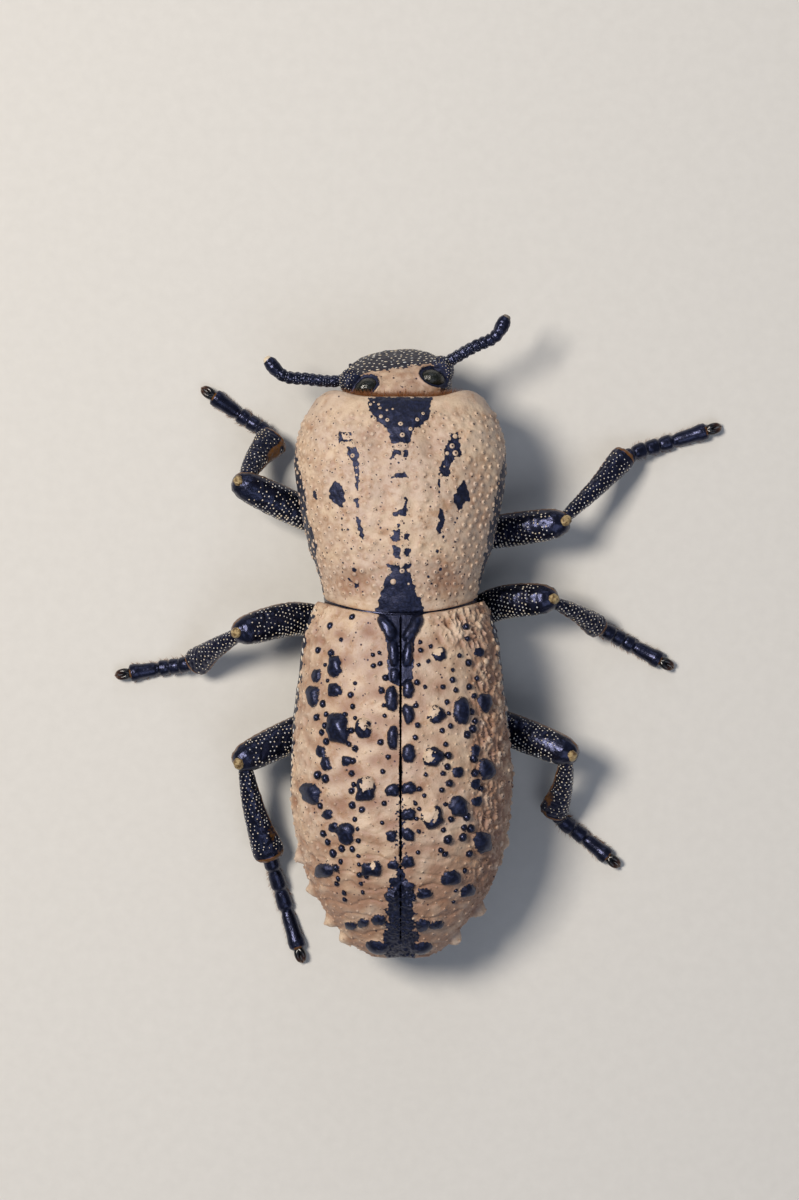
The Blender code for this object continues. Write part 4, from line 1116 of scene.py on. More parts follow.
def side_line(relief, share, side):
    """Black line along the side margin, and all black on the folded edge and inside."""
    outer = len(share)
    y, z = relief.grid[:, :outer, 1], relief.grid[:, :outer, 2]
    height = z - curve(HIND_BODY, np.clip(y, HIND_BODY[0][0], HIND_BODY[-1][0]))[..., 2]
    rear, front = SIDE_LINE_FADE[side]
    reach = smooth(rear, front, y)
    uneven = 1 + 0.15 * ripple(relief.grid[:, :outer], 0.6, 47)
    band = bareness(height - SIDE_LINE_TOP * reach * uneven) * (reach > 0.02) * (height > -0.3)
    below = np.clip(0.5 + (-0.35 - height) * 4, 0, 1)
    bare = relief.marks["bare"].reshape(len(relief.grid), -1)
    bare[:, :outer] = np.maximum(bare[:, :outer], np.maximum(band * smooth(2.2, 1.2, y), below))
    bare[:, outer:] = 1.0
    relief.marks["bare"] = bare.ravel()


def margin_points(side, y):
    """Places on the side margin of the wing cases, with the way that they face."""
    sign = SIGN[side]
    half, _, margin, _ = curve(HIND_BODY, y).T
    points = np.stack((sign * (half - DASH_INSET), y, margin + DASH_RISE), 1)
    points = bowed(points, HIND_EDGE)
    slope = np.gradient(points[:, 0], points[:, 1])
    return points, unit(np.stack((np.full(len(y), float(sign)), -slope, np.full(len(y), 0.25)), 1))


def black_granules(relief, sign):
    """Indices and radii of one side's black granules, each marked and set on a low dome."""
    chosen, radii = [], []
    for across, down, size in BLACK_GRANULES:
        x, y = picture_point(across, down)
        if x * sign > 0:
            here, radius = relief.nearest(x, y), size * HALF_PIXEL
            relief.spot(relief.flat[here], radius * 1.15)
            relief.dome(relief.flat[here], radius * 1.9, radius * 0.35)
            chosen.append(here)
            radii.append(radius)
    return np.array(chosen), np.array(radii)


def side_dashes(side, rng):
    """Frames of the white dashes set in the black line of the side margin."""
    dashes = np.arange(DASHES_FROM[side], DASHES_TO, DASH_SPACING)
    dashes = dashes + rng.uniform(-0.12, 0.12, len(dashes))
    points, facing = margin_points(side, dashes)
    count = len(dashes)
    points[:, 2] += rng.uniform(-0.15, 0.15, count)
    wide, long = rng.uniform(0.05, 0.09, count), rng.uniform(0.12, 0.22, count)
    return frames_on(points, facing, np.stack((wide, long, np.full(count, 0.06)), 1))


def build_case(side, sizes, looks):
    """One wing case: its skin, tan granules, black beads and the dashes of its side line."""
    grid, share = case_grid(SIGN[side], sizes)
    outer = np.zeros(grid.shape[:2], bool)
    outer[3:-2, : len(share)] = True
    relief = Relief(grid, outer)
    rng = np.random.default_rng(sizes.seed + (1 if side == "left" else 2))
    case_marks(relief, side, rng)
    side_line(relief, share, side)
    places, tan_radii = case_relief(relief, side, sizes, rng)
    chosen, radii = black_granules(relief, SIGN[side])
    points, normals = relief.tops(chosen)
    mesh = relief.skin("elytron_skin_" + side)
    make_piece("elytron_skin_" + side, mesh, looks, waxed_cuticle, "tan_crust", "elytron_" + side)
    clear = tree_of(relief.flat[chosen])
    free = np.array([clear.find(relief.flat[i])[2] > BEAD_CLEARANCE for i in places])
    grains = studs("elytron_granules_" + side, relief, places[free], tan_radii[free], 0.65, 0.45, rng)
    make_piece("elytron_granules_" + side, grains, looks, waxed_cuticle, "tan_crust")
    scale = np.stack((radii, radii * rng.uniform(0.9, 1.25, len(radii)), radii * 0.85), 1)
    beads = copies("elytron_beads_" + side, bead("granule", 14, 9), frames_on(points, normals, scale))
    make_piece("elytron_beads_" + side, beads, looks, bare_cuticle, "black_cuticle")
    dash = copies("elytron_dashes_" + side, bead("dash"), side_dashes(side, rng))
    make_piece("elytron_dashes_" + side, dash, looks, cream_wax, "tan_crust")


# The plug inside the waist joint: place along the body and share of this full row.
WAIST_ROW = (0.0, 5.3, 11.05, 6.4, 3.4)
WAIST_PLUG = ((0.2, 0.9), (1.4, 0.93), (2.0, 0.95), (2.8, 0.9))
WAIST_AROUND = 96


def build_waist(looks):
    """Dark membrane that closes the joint between prothorax and wing cases."""
    rows = np.array([shrunk(WAIST_ROW, y, scale) for y, scale in WAIST_PLUG])
    turns = np.linspace(0, 2 * np.pi, WAIST_AROUND, endpoint=False)
    grid = section(rows, np.cos(turns), np.sin(turns))
    grid[..., 1] += REAR_BOW * (grid[..., 0] / 5.2) ** 2
    grid = closed((0.0, rows[0, 0], WAIST_ROW[3]), grid, (0.0, rows[-1, 0], WAIST_ROW[3]))
    mesh = grid_skin("waist_membrane", grid, {"amber": np.zeros(grid.shape[:2])})
    make_piece("waist_membrane", mesh, looks, bare_cuticle, "black_cuticle")


# Hip sockets on the underside: low domes a little inward of each hip.
COXA_RADII = (1.5, 1.2, 1.2)
FORE_HIP_REACH = 1.75
HIP_REACH = 1.7
COXA_INWARD = 0.45
COXA_ABOVE = 0.5
# Grooves between the plates of the underside: places along the body.
PLATE_GROOVES = (-6.4, -9.3, -12.0, -14.4, -16.6)
VENTER_AROUND = 200
VENTER_RINGS = 230
VENTER_TOP = 0.25


def build_cases(sizes, looks):
    """Both wing cases and the plug of the waist joint."""
    for side in SIGN:
        build_case(side, sizes, looks)
    build_waist(looks)


def venter_grid():
    """The underside behind the waist, from seam to seam, with a hidden flat top inside the wing cases."""
    first, last = HIND_BODY[0][0], HIND_BODY[-1][0]
    places = np.linspace(first, last, VENTER_RINGS)
    values = np.column_stack((places, curve(HIND_BODY, places)))
    fold = seam_fold(values, lower_edge(places) - 0.06)
    low = int(VENTER_AROUND * (1 - VENTER_TOP))
    turns = np.pi + fold + np.linspace(0, 1, low)[None, :] * (np.pi - 2 * fold)
    under_side = section(values, np.cos(turns), np.sin(turns))
    right, left = under_side[:, -1], under_side[:, 0]
    share = np.linspace(0, 1, VENTER_AROUND - low + 2)[1:-1, None]
    top = right[:, None, :] * (1 - share) + left[:, None, :] * share
    top[..., 2] += 0.5 * np.sin(np.pi * share[:, 0])
    grid = bowed(np.concatenate((under_side, top), 1), HIND_EDGE)
    lower = np.zeros((VENTER_RINGS + 2, VENTER_AROUND), bool)
    lower[2:-2, 3 : low - 3] = True
    return closed((0.0, first - 0.08, 4.6), grid, (0.0, last, 4.8)), lower


def coxa_centre(hip):
    x, y, z = hip
    return x - math.copysign(COXA_INWARD, x), y, z + COXA_ABOVE


def coxa_mesh(name, hip):
    """The dome that holds a hip, a little pitted."""
    mesh = bead(name, 40, 24)
    ball = read_points(mesh)
    points = ball * COXA_RADII * (1 + 0.02 * ripple(ball, 0.35, 71))[:, None]
    write_points(mesh, points + coxa_centre(hip))
    return mesh


def build_underside(sizes, looks):
    """Breast and belly in one skin, the plates parted by grooves, with sparse cream granules."""
    grid, lower = venter_grid()
    relief = Relief(grid, lower)
    x, y, _ = relief.flat.T
    for place in PLATE_GROOVES:
        curved = y - place - 0.25 * (x / 5.0) ** 2
        relief.lift -= 0.13 * bell(curved, 0.13)
        relief.lift += 0.05 * smooth(0.9, 0.15, np.abs(curved + 0.45))
    relief.lift -= 0.12 * bell(x, 0.16) * smooth(-6.2, -5.4, y)
    relief.lift += 0.03 * ripple(relief.flat, 1.1, 61)
    picked = scattered(relief.flat, 0.55, sizes.seed + 21, relief.outer)
    for i in picked:
        relief.dome(relief.flat[i], 0.2, 0.035)
    rng = np.random.default_rng(sizes.seed + 22)
    chosen = picked[rng.uniform(size=len(picked)) < 0.5]
    hips = [coxa_centre(leg.hip) for name, leg in LEGS.items() if not name.startswith("fore")]
    chosen = chosen[clear_of(relief.flat[chosen], hips, HIP_REACH)]
    radii = rng.uniform(0.07, 0.13, len(chosen))
    points, normals = relief.tops(chosen)
    relief.marks = {"amber": np.zeros(len(relief.flat)), "cream": np.zeros(len(relief.flat))}
    mesh = relief.skin("underside_skin")
    make_piece("underside_skin", mesh, looks, bare_cuticle, "black_cuticle", "metathorax", "abdomen")
    scale = np.stack((radii, radii, radii * 0.6), 1)
    grains = copies("underside_granules", bead("granule", 8, 5), frames_on(points, normals, scale))
    make_piece("underside_granules", grains, looks, cream_wax, "tan_crust")
    domes = joined("coxae", [coxa_mesh("coxa_" + name, leg.hip) for name, leg in LEGS.items()])
    make_piece("coxae", domes, looks, bare_cuticle, "black_cuticle")


# The head, shaped straight, then rolled and turned a little to the animal's left. Each row: place forward,
# height, nod in degrees, half width, rise of the face above that centre and drop below it.
HEAD = (
    (14.55, 6.9, 0, 2.5, 1.45, 1.5),
    (15.3, 6.9, -6, 3.0, 1.85, 1.75),
    (16.0, 6.6, -20, 3.45, 2.05, 1.85),
    (16.7, 6.1, -32, 3.6, 1.95, 1.8),
    (17.4, 5.6, -40, 3.5, 1.6, 1.6),
    (18.05, 5.1, -44, 3.05, 1.2, 1.3),
    (18.6, 4.7, -48, 2.25, 0.75, 0.95),
)
NECK_END = (0.0, 14.5, 6.9)
MOUTH_END = (0.0, 18.95, 4.4)
HEAD_POWER = 2.3
# Share of the points round the head that lie on its face.
FACE_SHARE = 0.62
HEAD_POSE = np.array(Matrix.Rotation(math.radians(8), 3, "Z") @ Matrix.Rotation(math.radians(6), 3, "Y"))
NECK_PIVOT = np.array((0.0, 15.6, 6.9))
HEAD_AROUND = 260
HEAD_RINGS = 190
EYE_AT = (2.1, 16.75, 7.55)
EYE_RADII = (0.9, 0.68, 0.9)
EYE_REACH = 1.12
EYE_TURN = (math.radians(-20), math.radians(28), math.radians(-18))
BROW_AT = (2.95, 17.35, 6.9)
BROW_RADII = (0.85, 0.95, 0.75)
LABRUM_AT = (0.0, 18.55, 4.5)
LABRUM_RADII = (1.45, 0.5, 0.4)
LABRUM_NOD = math.radians(-35)
MANDIBLE = ((0.75, 18.1, 3.95), (0.78, 18.55, 3.85), (0.3, 19.0, 3.75))
MANDIBLE_GIRTH = 0.36
PALP = ((1.5, 17.4, 3.9), (2.3, 17.9, 3.2), (2.5, 18.7, 2.75))
PALP_GIRTH = 0.26
# How far the tan spreads beyond the crown beside the clypeus, left and right.
CHEEK_TAN_REACH = (1.0, 0.5)
# Folds across the crown: place forward and slope.
CROWN_FOLDS = ((16.45, 0.16), (16.95, -0.12), (17.35, 0.2))
CLYPEUS_SPACING = 0.25
CLYPEUS_GRANULE = 0.038
BROW_SPACING = 0.16
BROW_GRANULE = 0.032
BAT_DARKNESS = 0.54
# A small brown mark with two wings on the crown: distance out, place forward and radius.
BAT_MARK = ((-0.08, 16.46, 0.13), (0.06, 16.37, 0.1), (0.24, 16.37, 0.1), (0.38, 16.46, 0.13))
# Where the tan crown gives way to the black band of the clypeus: distance out, place forward.
CROWN_FRONT = (
    (-3.3, 17.7), (-2.6, 17.85), (-1.4, 17.9), (0.0, 17.9), (1.4, 17.95), (2.6, 17.9), (3.3, 17.6),
)


def turned(points):
    """Rolls and turns points with the head about the neck."""
    return (np.asarray(points, float) - NECK_PIVOT) @ HEAD_POSE.T + NECK_PIVOT


def turn_matrix(axis, angle):
    return np.array(Matrix.Rotation(angle, 3, axis))


def head_grid():
    """The head capsule from neck to mouth, before it is turned."""
    rows = [(i, *row) for i, row in enumerate(HEAD)]
    values = curve(rows, np.linspace(0, len(HEAD) - 1, HEAD_RINGS))
    y, z, nod, half, rise, drop = (values[:, i, None] for i in range(6))
    share = np.linspace(0, 1, HEAD_AROUND, endpoint=False)
    upper, lower = share / FACE_SHARE * np.pi, np.pi + (share - FACE_SHARE) / (1 - FACE_SHARE) * np.pi
    turns = np.where(share < FACE_SHARE, upper, lower)[None, :]
    cosine, sine = np.cos(turns), np.sin(turns)
    side = half * lay_out(cosine, HEAD_POWER)
    up = np.where(sine > 0, rise, drop) * lay_out(sine, HEAD_POWER)
    tilt = np.radians(nod)
    grid = np.stack((side, y - up * np.sin(tilt), z + up * np.cos(tilt)), -1)
    return closed(NECK_END, grid, MOUTH_END), sine[0]


def swell(points, normals, centre, radii, turn=np.eye(3)):
    """How far each point is moved along its normal to lie on an ellipsoid that stands out of the skin."""
    local = (points - centre) @ turn / radii
    aim = normals @ turn / radii
    a = (aim * aim).sum(1)
    b = (local * aim).sum(1)
    c = (local * local).sum(1) - 1
    root = b * b - a * c
    reach = (-b + np.sqrt(np.maximum(root, 0))) / a
    return np.where((root > 0) & (c < 0), np.clip(reach, 0, 2.0), 0.0)


def eye_turn(sign):
    turn = turn_matrix("Y", sign * EYE_TURN[1]) @ turn_matrix("X", EYE_TURN[0])
    return turn_matrix("Z", sign * EYE_TURN[2]) @ turn


def head_marks(relief, band, above):
    """Tan crown, black clypeus darkened by painted shade, and black below the cheeks."""
    x, y, _ = relief.flat.T
    wider = np.where(x < 0, *CHEEK_TAN_REACH) * smooth(17.5, 17.75, y)
    sides = np.abs(x) - 2.35 - 0.25 * smooth(16.8, 15.6, y) - wider
    relief.marks["bare"] = np.maximum(bareness(-np.maximum(band, sides)), smooth(0.25, 0.05, above))
    relief.marks["gloss"] += 0.3 * relief.marks["bare"]
    # Painted shade over the clypeus band.
    relief.marks["face_shade"] = smooth(-0.1, 0.15, band) * (np.abs(x) < 3.2)
    relief.marks["stain_and_shade"] += 0.55 + 0.2 * ripple(relief.flat, 0.8, 84)


def head_relief(relief, band, above):
    """The groove before the crown, its hill and folds, brow lobes, eye sockets and labrum."""
    x, y, _ = relief.flat.T
    relief.lift += 0.03 * ripple(relief.flat, 1.4, 82) + 0.015 * ripple(relief.flat, 0.6, 83)
    relief.lift -= 0.10 * bell(band, 0.1) * (above > 0.2) * (np.abs(x) < 2.6)
    relief.lift += 0.10 * bell(x - 0.3, 0.9) * bell(y - 16.6, 0.5)
    for fold_y, slope in CROWN_FOLDS:
        fold = y - fold_y - slope * x - 0.12 * np.sin(1.7 * x)
        relief.lift -= 0.035 * bell(fold, 0.07) * (above > 0.2) * (np.abs(x) < 2.1)
    for sign in SIGN.values():
        rise = swell(relief.flat, relief.normals, mirrored(BROW_AT, sign), BROW_RADII)
        relief.lift = np.maximum(relief.lift, rise)
        relief.darken(smooth(0.0, 0.12, rise))
        local = (relief.flat - mirrored(EYE_AT, sign)) @ eye_turn(sign) / (np.array(EYE_RADII) + 0.12)
        distance = np.linalg.norm(local, axis=1)
        relief.lift += 0.13 * bell(distance - 1.1, 0.09) - 0.3 * smooth(1.05, 0.8, distance)
        relief.darken(bareness((distance - 1.06) * 0.8))
    nod = turn_matrix("X", LABRUM_NOD)
    relief.lift = np.maximum(relief.lift, swell(relief.flat, relief.normals, LABRUM_AT, LABRUM_RADII, nod))


def face_granules(relief, band, above, seed):
    """Frames of the cream granules: long ones across the clypeus, small round ones on the brow lobes."""
    x, y, _ = relief.flat.T
    points, _ = relief.tops(slice(None))
    rng = np.random.default_rng(seed + 31)
    black = relief.outer & (relief.marks["bare"] > 0.62) & (above > -0.6) & (y > 15.9)
    brow = (np.abs(x) > 2.45) & (band < 0)
    picked = scattered(points * (0.66, 1, 1), CLYPEUS_SPACING, seed + 32, black & ~brow)
    picked = np.concatenate((picked, scattered(points, BROW_SPACING, seed + 34, black & brow)))
    eyes = [mirrored(EYE_AT, sign) for sign in SIGN.values()]
    clear = clear_of(points[picked], eyes, EYE_REACH)
    lip = np.linalg.norm((points[picked] - LABRUM_AT) / (1.35, 0.5, 0.5), axis=1) > 1
    picked = picked[clear & lip]
    radii = np.where(brow[picked], BROW_GRANULE, CLYPEUS_GRANULE) * rng.uniform(0.8, 1.25, len(picked))
    long = np.where(brow[picked], 1.0, rng.uniform(1.5, 3.0, len(picked)))
    scale = np.stack((radii * long, radii, radii * 0.7), 1)
    facing = relief.normals[picked] @ HEAD_POSE.T
    return frames_on(turned(points[picked]), facing, scale, rng.uniform(-0.1, 0.5, len(picked))), rng


def build_head(sizes, looks):
    """Head capsule: tan crown, black clypeus full of granules, brow lobes over the feelers, labrum."""
    grid, sine = head_grid()
    face = np.broadcast_to((sine > -0.75)[None, :], grid.shape[:2]).copy()
    face[:2] = False
    face[-2:] = False
    relief = Relief(grid, face)
    x, y, _ = relief.flat.T
    above = np.broadcast_to(sine, grid.shape[:2]).ravel()
    crown = curve(CROWN_FRONT, np.clip(x, CROWN_FRONT[0][0], CROWN_FRONT[-1][0]))[:, 0]
    band = y - crown + 0.14 * np.abs(np.sin(2.3 * x + 0.6)) + 0.07 * ripple(relief.flat, 0.4, 81)
    head_marks(relief, band, above)
    head_relief(relief, band, above)
    frames, rng = face_granules(relief, band, above, sizes.seed)
    waxed = relief.outer & (relief.marks["bare"] < 0.3) & (above > 0)
    for i in scattered(relief.flat, 0.5, sizes.seed + 33, waxed):
        relief.dome(relief.flat[i], 0.2, 0.025)
        if rng.uniform() < 0.3:
            relief.marks["prick"][i] = 0.9
    for at_x, at_y, size in BAT_MARK:
        near, distance = relief.around(relief.flat[relief.nearest(at_x, at_y)], 3 * size)
        relief.marks["prick"][near] += BAT_DARKNESS * bell(distance, size)
    mesh = relief.skin("head_skin")
    write_points(mesh, turned(read_points(mesh)))
    make_piece("head_skin", mesh, looks, waxed_cuticle, "black_cuticle", "head")
    grains = copies("head_granules", bead("granule", 8, 6), frames)
    make_piece("head_granules", grains, looks, cream_wax, "tan_crust")
    build_eyes(looks)


def build_eyes(looks):
    """Low, smooth compound eyes sunk in their sockets."""
    for side, sign in SIGN.items():
        mesh = shaped("eye_" + side, bmesh.ops.create_icosphere, subdivisions=5, radius=1)
        points = (read_points(mesh) * EYE_RADII) @ eye_turn(sign).T
        write_points(mesh, turned(points + mirrored(EYE_AT, sign)))
        make_piece("eye_lens_" + side, mesh, looks, eye_lens, "compound_eye", "eye_" + side)


HIP_Z = 2.5
TOE_Z = 0.42
Leg = namedtuple("Leg", "hip knee ankle toe foot_joints bow shin amber")
# Legs: hip, knee, ankle, end of the foot, its joints, how far forward the femur bows, how broad the shin
# looks from above and how much of it is thin and amber.
LEGS = {
    "fore_left": Leg(
        (-2.6, 6.7, HIP_Z), (-10.6, 10.4, 5.0), (-8.45, 13.45, 1.4), (-12.5, 16.3, TOE_Z), 5, 0, 1.05, 1.0
    ),
    "fore_right": Leg(
        (2.6, 6.7, HIP_Z), (10.7, 7.8, 4.4), (15.0, 12.3, 1.4), (20.5, 14.0, TOE_Z), 5, 0, 0.8, 0.25
    ),
    "mid_left": Leg(
        (-3.0, 0.7, HIP_Z), (-10.6, 0.6, 5.2), (-13.7, -1.5, 1.4), (-18.1, -2.2, TOE_Z), 5, 0.8, 0.9, 0.35
    ),
    "mid_right": Leg(
        (3.0, 0.7, HIP_Z), (9.9, 2.8, 5.0), (13.2, 0.9, 1.4), (17.4, -1.4, TOE_Z), 5, 0.7, 0.75, 0.3
    ),
    "hind_left": Leg(
        (-3.4, -4.4, HIP_Z), (-10.6, -7.9, 4.4), (-8.7, -14.4, 1.4), (-6.8, -20.6, TOE_Z), 4, 0, 1.0, 0.5
    ),
    "hind_right": Leg(
        (3.4, -4.4, HIP_Z), (11.2, -7.4, 5.2), (10.2, -11.5, 1.4), (13.9, -14.5, TOE_Z), 4, 0, 0.9, 0.6
    ),
}
# Share along the limb, half width and half depth.
FEMUR_GIRTH = (
    (0.0, 0.3, 0.3), (0.04, 0.62, 0.6), (0.14, 0.9, 0.76), (0.4, 1.08, 0.9), (0.75, 1.09, 0.98),
    (0.9, 1.01, 0.95), (0.97, 0.9, 0.86), (1.0, 0.76, 0.72),
)
FEMUR_LIFT = 0.35
TIBIA_GIRTH = (
    (0.0, 0.32, 0.28), (0.08, 0.44, 0.44), (0.3, 0.58, 0.52), (0.65, 0.78, 0.6), (0.88, 0.98, 0.68),
    (0.95, 0.99, 0.68), (0.98, 0.88, 0.64), (1.0, 0.74, 0.58),
)
TIBIA_SOCKET = 0.3
TIBIA_BULGE = 0.25
TIBIA_HOLLOW = 0.45
KNEE_FOLD = (0.34, 0.42, 0.26)
KNEE_FOLD_RISE = 0.58
FOOT_ROOT = 0.55
FOOT_THIN = 0.39
FOOT_THICK = 0.52
FOOT_LAST = 0.57
FOOT_LAST_SHARE = 0.38
CLAW_LENGTH = 1.3
CLAW_SPREAD = math.radians(34)
CLAW_SWING = math.radians(62)
CLAW_GIRTH = ((0.0, 0.27, 0.3), (0.3, 0.22, 0.25), (0.7, 0.13, 0.15), (1.0, 0.035, 0.035))
LIMB_AROUND = 72

FEELERS = {
    "left": (
        (-3.55, 17.1, 6.75), (-4.3, 17.0, 6.75), (-6.1, 17.15, 6.6), (-7.7, 17.4, 6.5),
        (-8.75, 18.45, 6.5),
    ),
    "right": (
        (2.75, 18.05, 6.55), (3.4, 18.45, 6.6), (4.8, 19.25, 6.6), (6.2, 19.95, 6.5), (6.95, 21.2, 6.5),
    ),
}
FEELER_BEADS = 9
FEELER_CLUB_SHARE = 0.22
FEELER_BEAD = 0.4
FEELER_NECK = 0.355
FEELER_CLUB = 0.46
# The club: share along the feeler, share of its full half width, and half depth.
FEELER_CLUB_GIRTH = ((0.83, 0.95, 0.42), (0.9, 1.0, 0.42), (0.96, 0.9, 0.38), (1.0, 0.62, 0.28))
PALE_TIP = {"left": 0.9, "right": 0.45}


class Limb:
    """A limb's skin as a grid along a smooth path, with its girth given by share of the path."""

    def __init__(self, path, girth, rings, around=LIMB_AROUND, power=2.0, hollow=0.0):
        path = np.array(path, float)
        lengths = np.concatenate(([0], np.cumsum(np.linalg.norm(np.diff(path, axis=0), axis=1))))
        knots = np.column_stack((lengths / lengths[-1], path))
        self.length = lengths[-1]
        self.share = np.linspace(0, 1, rings)
        centre = curve(knots, self.share)
        ahead = unit(np.gradient(centre, axis=0))
        side = unit(np.cross(ahead, (0.0, 0.0, 1.0)))
        up = np.cross(side, ahead)
        sizes = curve(girth, self.share)
        self.turns = np.linspace(0, 2 * np.pi, around, endpoint=False)
        cosine, sine = np.cos(self.turns), np.sin(self.turns)
        across = lay_out(cosine, power)[None, :, None] * sizes[:, 0, None, None] * side[:, None, :]
        raised = lay_out(sine, power)[None, :, None] * sizes[:, 1, None, None] * up[:, None, :]
        grid = centre[:, None, :] + across + raised
        end, way, thick = centre[-1], ahead[-1], sizes[-1, 0]
        caps = ((0.8, -0.05), (0.6, -hollow)) if hollow else ((0.9, thick * 0.25), (0.6, thick * 0.5))
        rings_on = [end + (grid[-1:] - end) * share + way * depth for share, depth in caps]
        tip = end - way * hollow if hollow else end + way * thick * 0.6
        root = centre[0] - ahead[0] * sizes[0, 0] * 0.5
        self.grid = closed(root, np.concatenate((grid, *rings_on)), tip)
        self.normals = grid_normals(self.grid)
        self.ahead = ahead
        self.marks = {name: np.zeros(self.grid.shape[:2]) for name in ("amber", "cream", "along")}
        self.marks["along"][1 : rings + 1] = self.share[:, None]
        self.marks["along"][rings + 1 :] = 1.0

    def roughen(self, depth, length, seed):
        self.grid += self.normals * (depth * ripple(self.grid, length, seed))[..., None]

    def skin(self, name, floor=None):
        if floor is not None:
            self.grid[..., 2] = np.maximum(self.grid[..., 2], floor)
        return grid_skin(name, self.grid, self.marks)


def femur_limb(leg):
    hip, knee = np.array(leg.hip), np.array(leg.knee)
    middle = (hip + knee) / 2 + (0, leg.bow, -FEMUR_LIFT)
    limb = Limb((hip, middle, knee), FEMUR_GIRTH, 96, power=2.2)
    forward = -math.copysign(1, knee[0])
    edge = smooth(0.965, 0.99, forward * np.cos(limb.turns - 0.16 * forward))[None, :]
    limb.marks["amber"] = 0.85 * edge * smooth(0.25, 0.5, limb.marks["along"])
    return limb


def tibia_limb(leg):
    """A shin: narrow at the knee, flared to its hollow end, amber along its thin inner edge."""
    hip, knee, ankle = (np.array(p) for p in (leg.hip, leg.knee, leg.ankle))
    inward = unit(hip - knee)
    root = knee + inward * TIBIA_SOCKET
    bulge = root + (ankle - root) * 0.45 - inward * TIBIA_BULGE
    girth = [(share, half * leg.shin, depth) for share, half, depth in TIBIA_GIRTH]
    limb = Limb((root, bulge, ankle), girth, 84, power=2.3, hollow=TIBIA_HOLLOW)
    share = limb.marks["along"]
    turn = limb.turns[None, :]
    inner = (-1.0 if leg.knee[0] * (leg.ankle[1] - leg.knee[1]) > 0 else 1.0) * np.cos(turn)
    edge = smooth(0.93, 0.995, inner) * smooth(0.08, 0.3, share)
    face = smooth(0.1, 0.7, inner) * smooth(0.35, 0.8, share) * leg.amber
    rim = smooth(0.95, 0.975, share)
    # Painted shade: a dark spot near the end of the inner face, where a pit would lie in shade. No pit is
    # shaped.
    pit_shade = bell(share - 0.87, 0.05) * bell(np.sin(turn) - 0.45, 0.3) * (inner > 0)
    amber = np.maximum(np.maximum(edge * (0.35 + leg.amber), face), rim)
    limb.marks["amber"] = np.clip(amber - 1.2 * pit_shade * leg.amber, 0, 1)
    flange = smooth(0.9, 1.0, inner) * smooth(0.1, 0.4, share)
    limb.grid += limb.normals * (0.09 * flange + 0.05 * rim)[..., None]
    return limb


def foot_girth(joints):
    """Beads of the foot: each swells towards its far end, and the last is the longest."""
    short = (1 - FOOT_LAST_SHARE) / (joints - 1)
    rows = []
    for i in range(joints - 1):
        near = i * short
        for share, size in ((0.02, FOOT_THIN), (0.2, 0.46), (0.6, FOOT_THICK), (0.88, FOOT_THICK * 0.97)):
            rows.append((near + short * share, size, size * 0.96))
    near = 1 - FOOT_LAST_SHARE
    for share, size in ((0.01, FOOT_THIN), (0.15, 0.45), (0.6, 0.5), (0.86, FOOT_LAST), (0.96, 0.5)):
        rows.append((near + FOOT_LAST_SHARE * share, size, size * 0.92))
    rows.append((1.0, 0.34, 0.32))
    return rows


def foot_limb(leg):
    knee, ankle, toe = (np.array(p) for p in (leg.knee, leg.ankle, leg.toe))
    root = ankle + unit(knee - ankle) * FOOT_ROOT
    landed = ankle + (toe - ankle) * 0.45
    landed[2] = toe[2]
    path = (root, ankle + (landed - ankle) * 0.3, landed, toe)
    limb = Limb(path, foot_girth(leg.foot_joints), 26 * leg.foot_joints, around=48)
    share = limb.marks["along"]
    top = smooth(0.5, 0.95, np.sin(limb.turns))[None, :]
    limb.marks["amber"] = 0.6 * smooth(0.95, 0.985, share) * top
    return limb


def claw_limb(leg, sign):
    """A hooked claw that leaves the foot, arches and turns down to the floor."""
    toe, ankle = np.array(leg.toe), np.array(leg.ankle)
    ahead = unit((toe - ankle) * (1, 1, 0))
    ahead = turn_matrix("Z", sign * CLAW_SPREAD) @ ahead
    hook = turn_matrix("Z", -sign * CLAW_SWING) @ ahead
    root = toe - ahead * 0.15
    rise = root + ahead * CLAW_LENGTH * 0.35 + (0, 0, 0.16)
    bend = rise + (ahead + hook) * CLAW_LENGTH * 0.17 + (0, 0, -0.03)
    tip = bend + hook * CLAW_LENGTH * 0.3
    tip[2] = 0.14
    return Limb((root, rise, bend, tip), CLAW_GIRTH, 28, around=24)


def limb_granules(limb, spacing, radius, rng, rear=0.0, spare=0.0, tip_share=0.93, flat=0.55):
    """Frames of cream granules in slanting rows, larger and closer on the hind side near the body."""
    rings = int(limb.length / spacing * 1.15)
    frames = []
    points, normals, clear = limb.grid[1:-3], limb.normals[1:-3], limb.marks["amber"][1:-3]
    rows, around = points.shape[:2]
    girth = np.linalg.norm(points - points.mean(1, keepdims=True), axis=2).mean(1)
    for i in range(rings):
        share = (i + 0.5) / rings
        if share > tip_share:
            break
        row = int(share * (rows - 1))
        way = limb.ahead[min(row, len(limb.ahead) - 1)]
        count = max(4, int(2 * np.pi * girth[row] / spacing))
        for j in range(count):
            turn = (j + 0.5 * (i % 2) + 0.18 * i + rng.uniform(-0.12, 0.12)) / count
            column = int(turn * around) % around
            shift = int(rng.uniform(-0.2, 0.2) * rows / rings)
            at = min(max(row + shift, 0), rows - 1)
            normal, point = normals[at, column], points[at, column]
            behind = max(0.0, -normal[1]) * rear * (1 - share)
            hidden = 0.75 * smooth(-0.2, -0.7, normal[2])
            left_out = spare * (share**2 + 0.12) - behind + hidden
            if rng.uniform() < left_out or clear[at, column] > 0.4:
                continue
            size = radius * rng.uniform(0.7, 1.15) * (1 + 0.9 * behind)
            sizes = np.array([[size * (1 + 0.8 * behind), size, size * flat]])
            frames.append(frames_on(point[None], normal[None], sizes, lie=way)[0])
    return frames


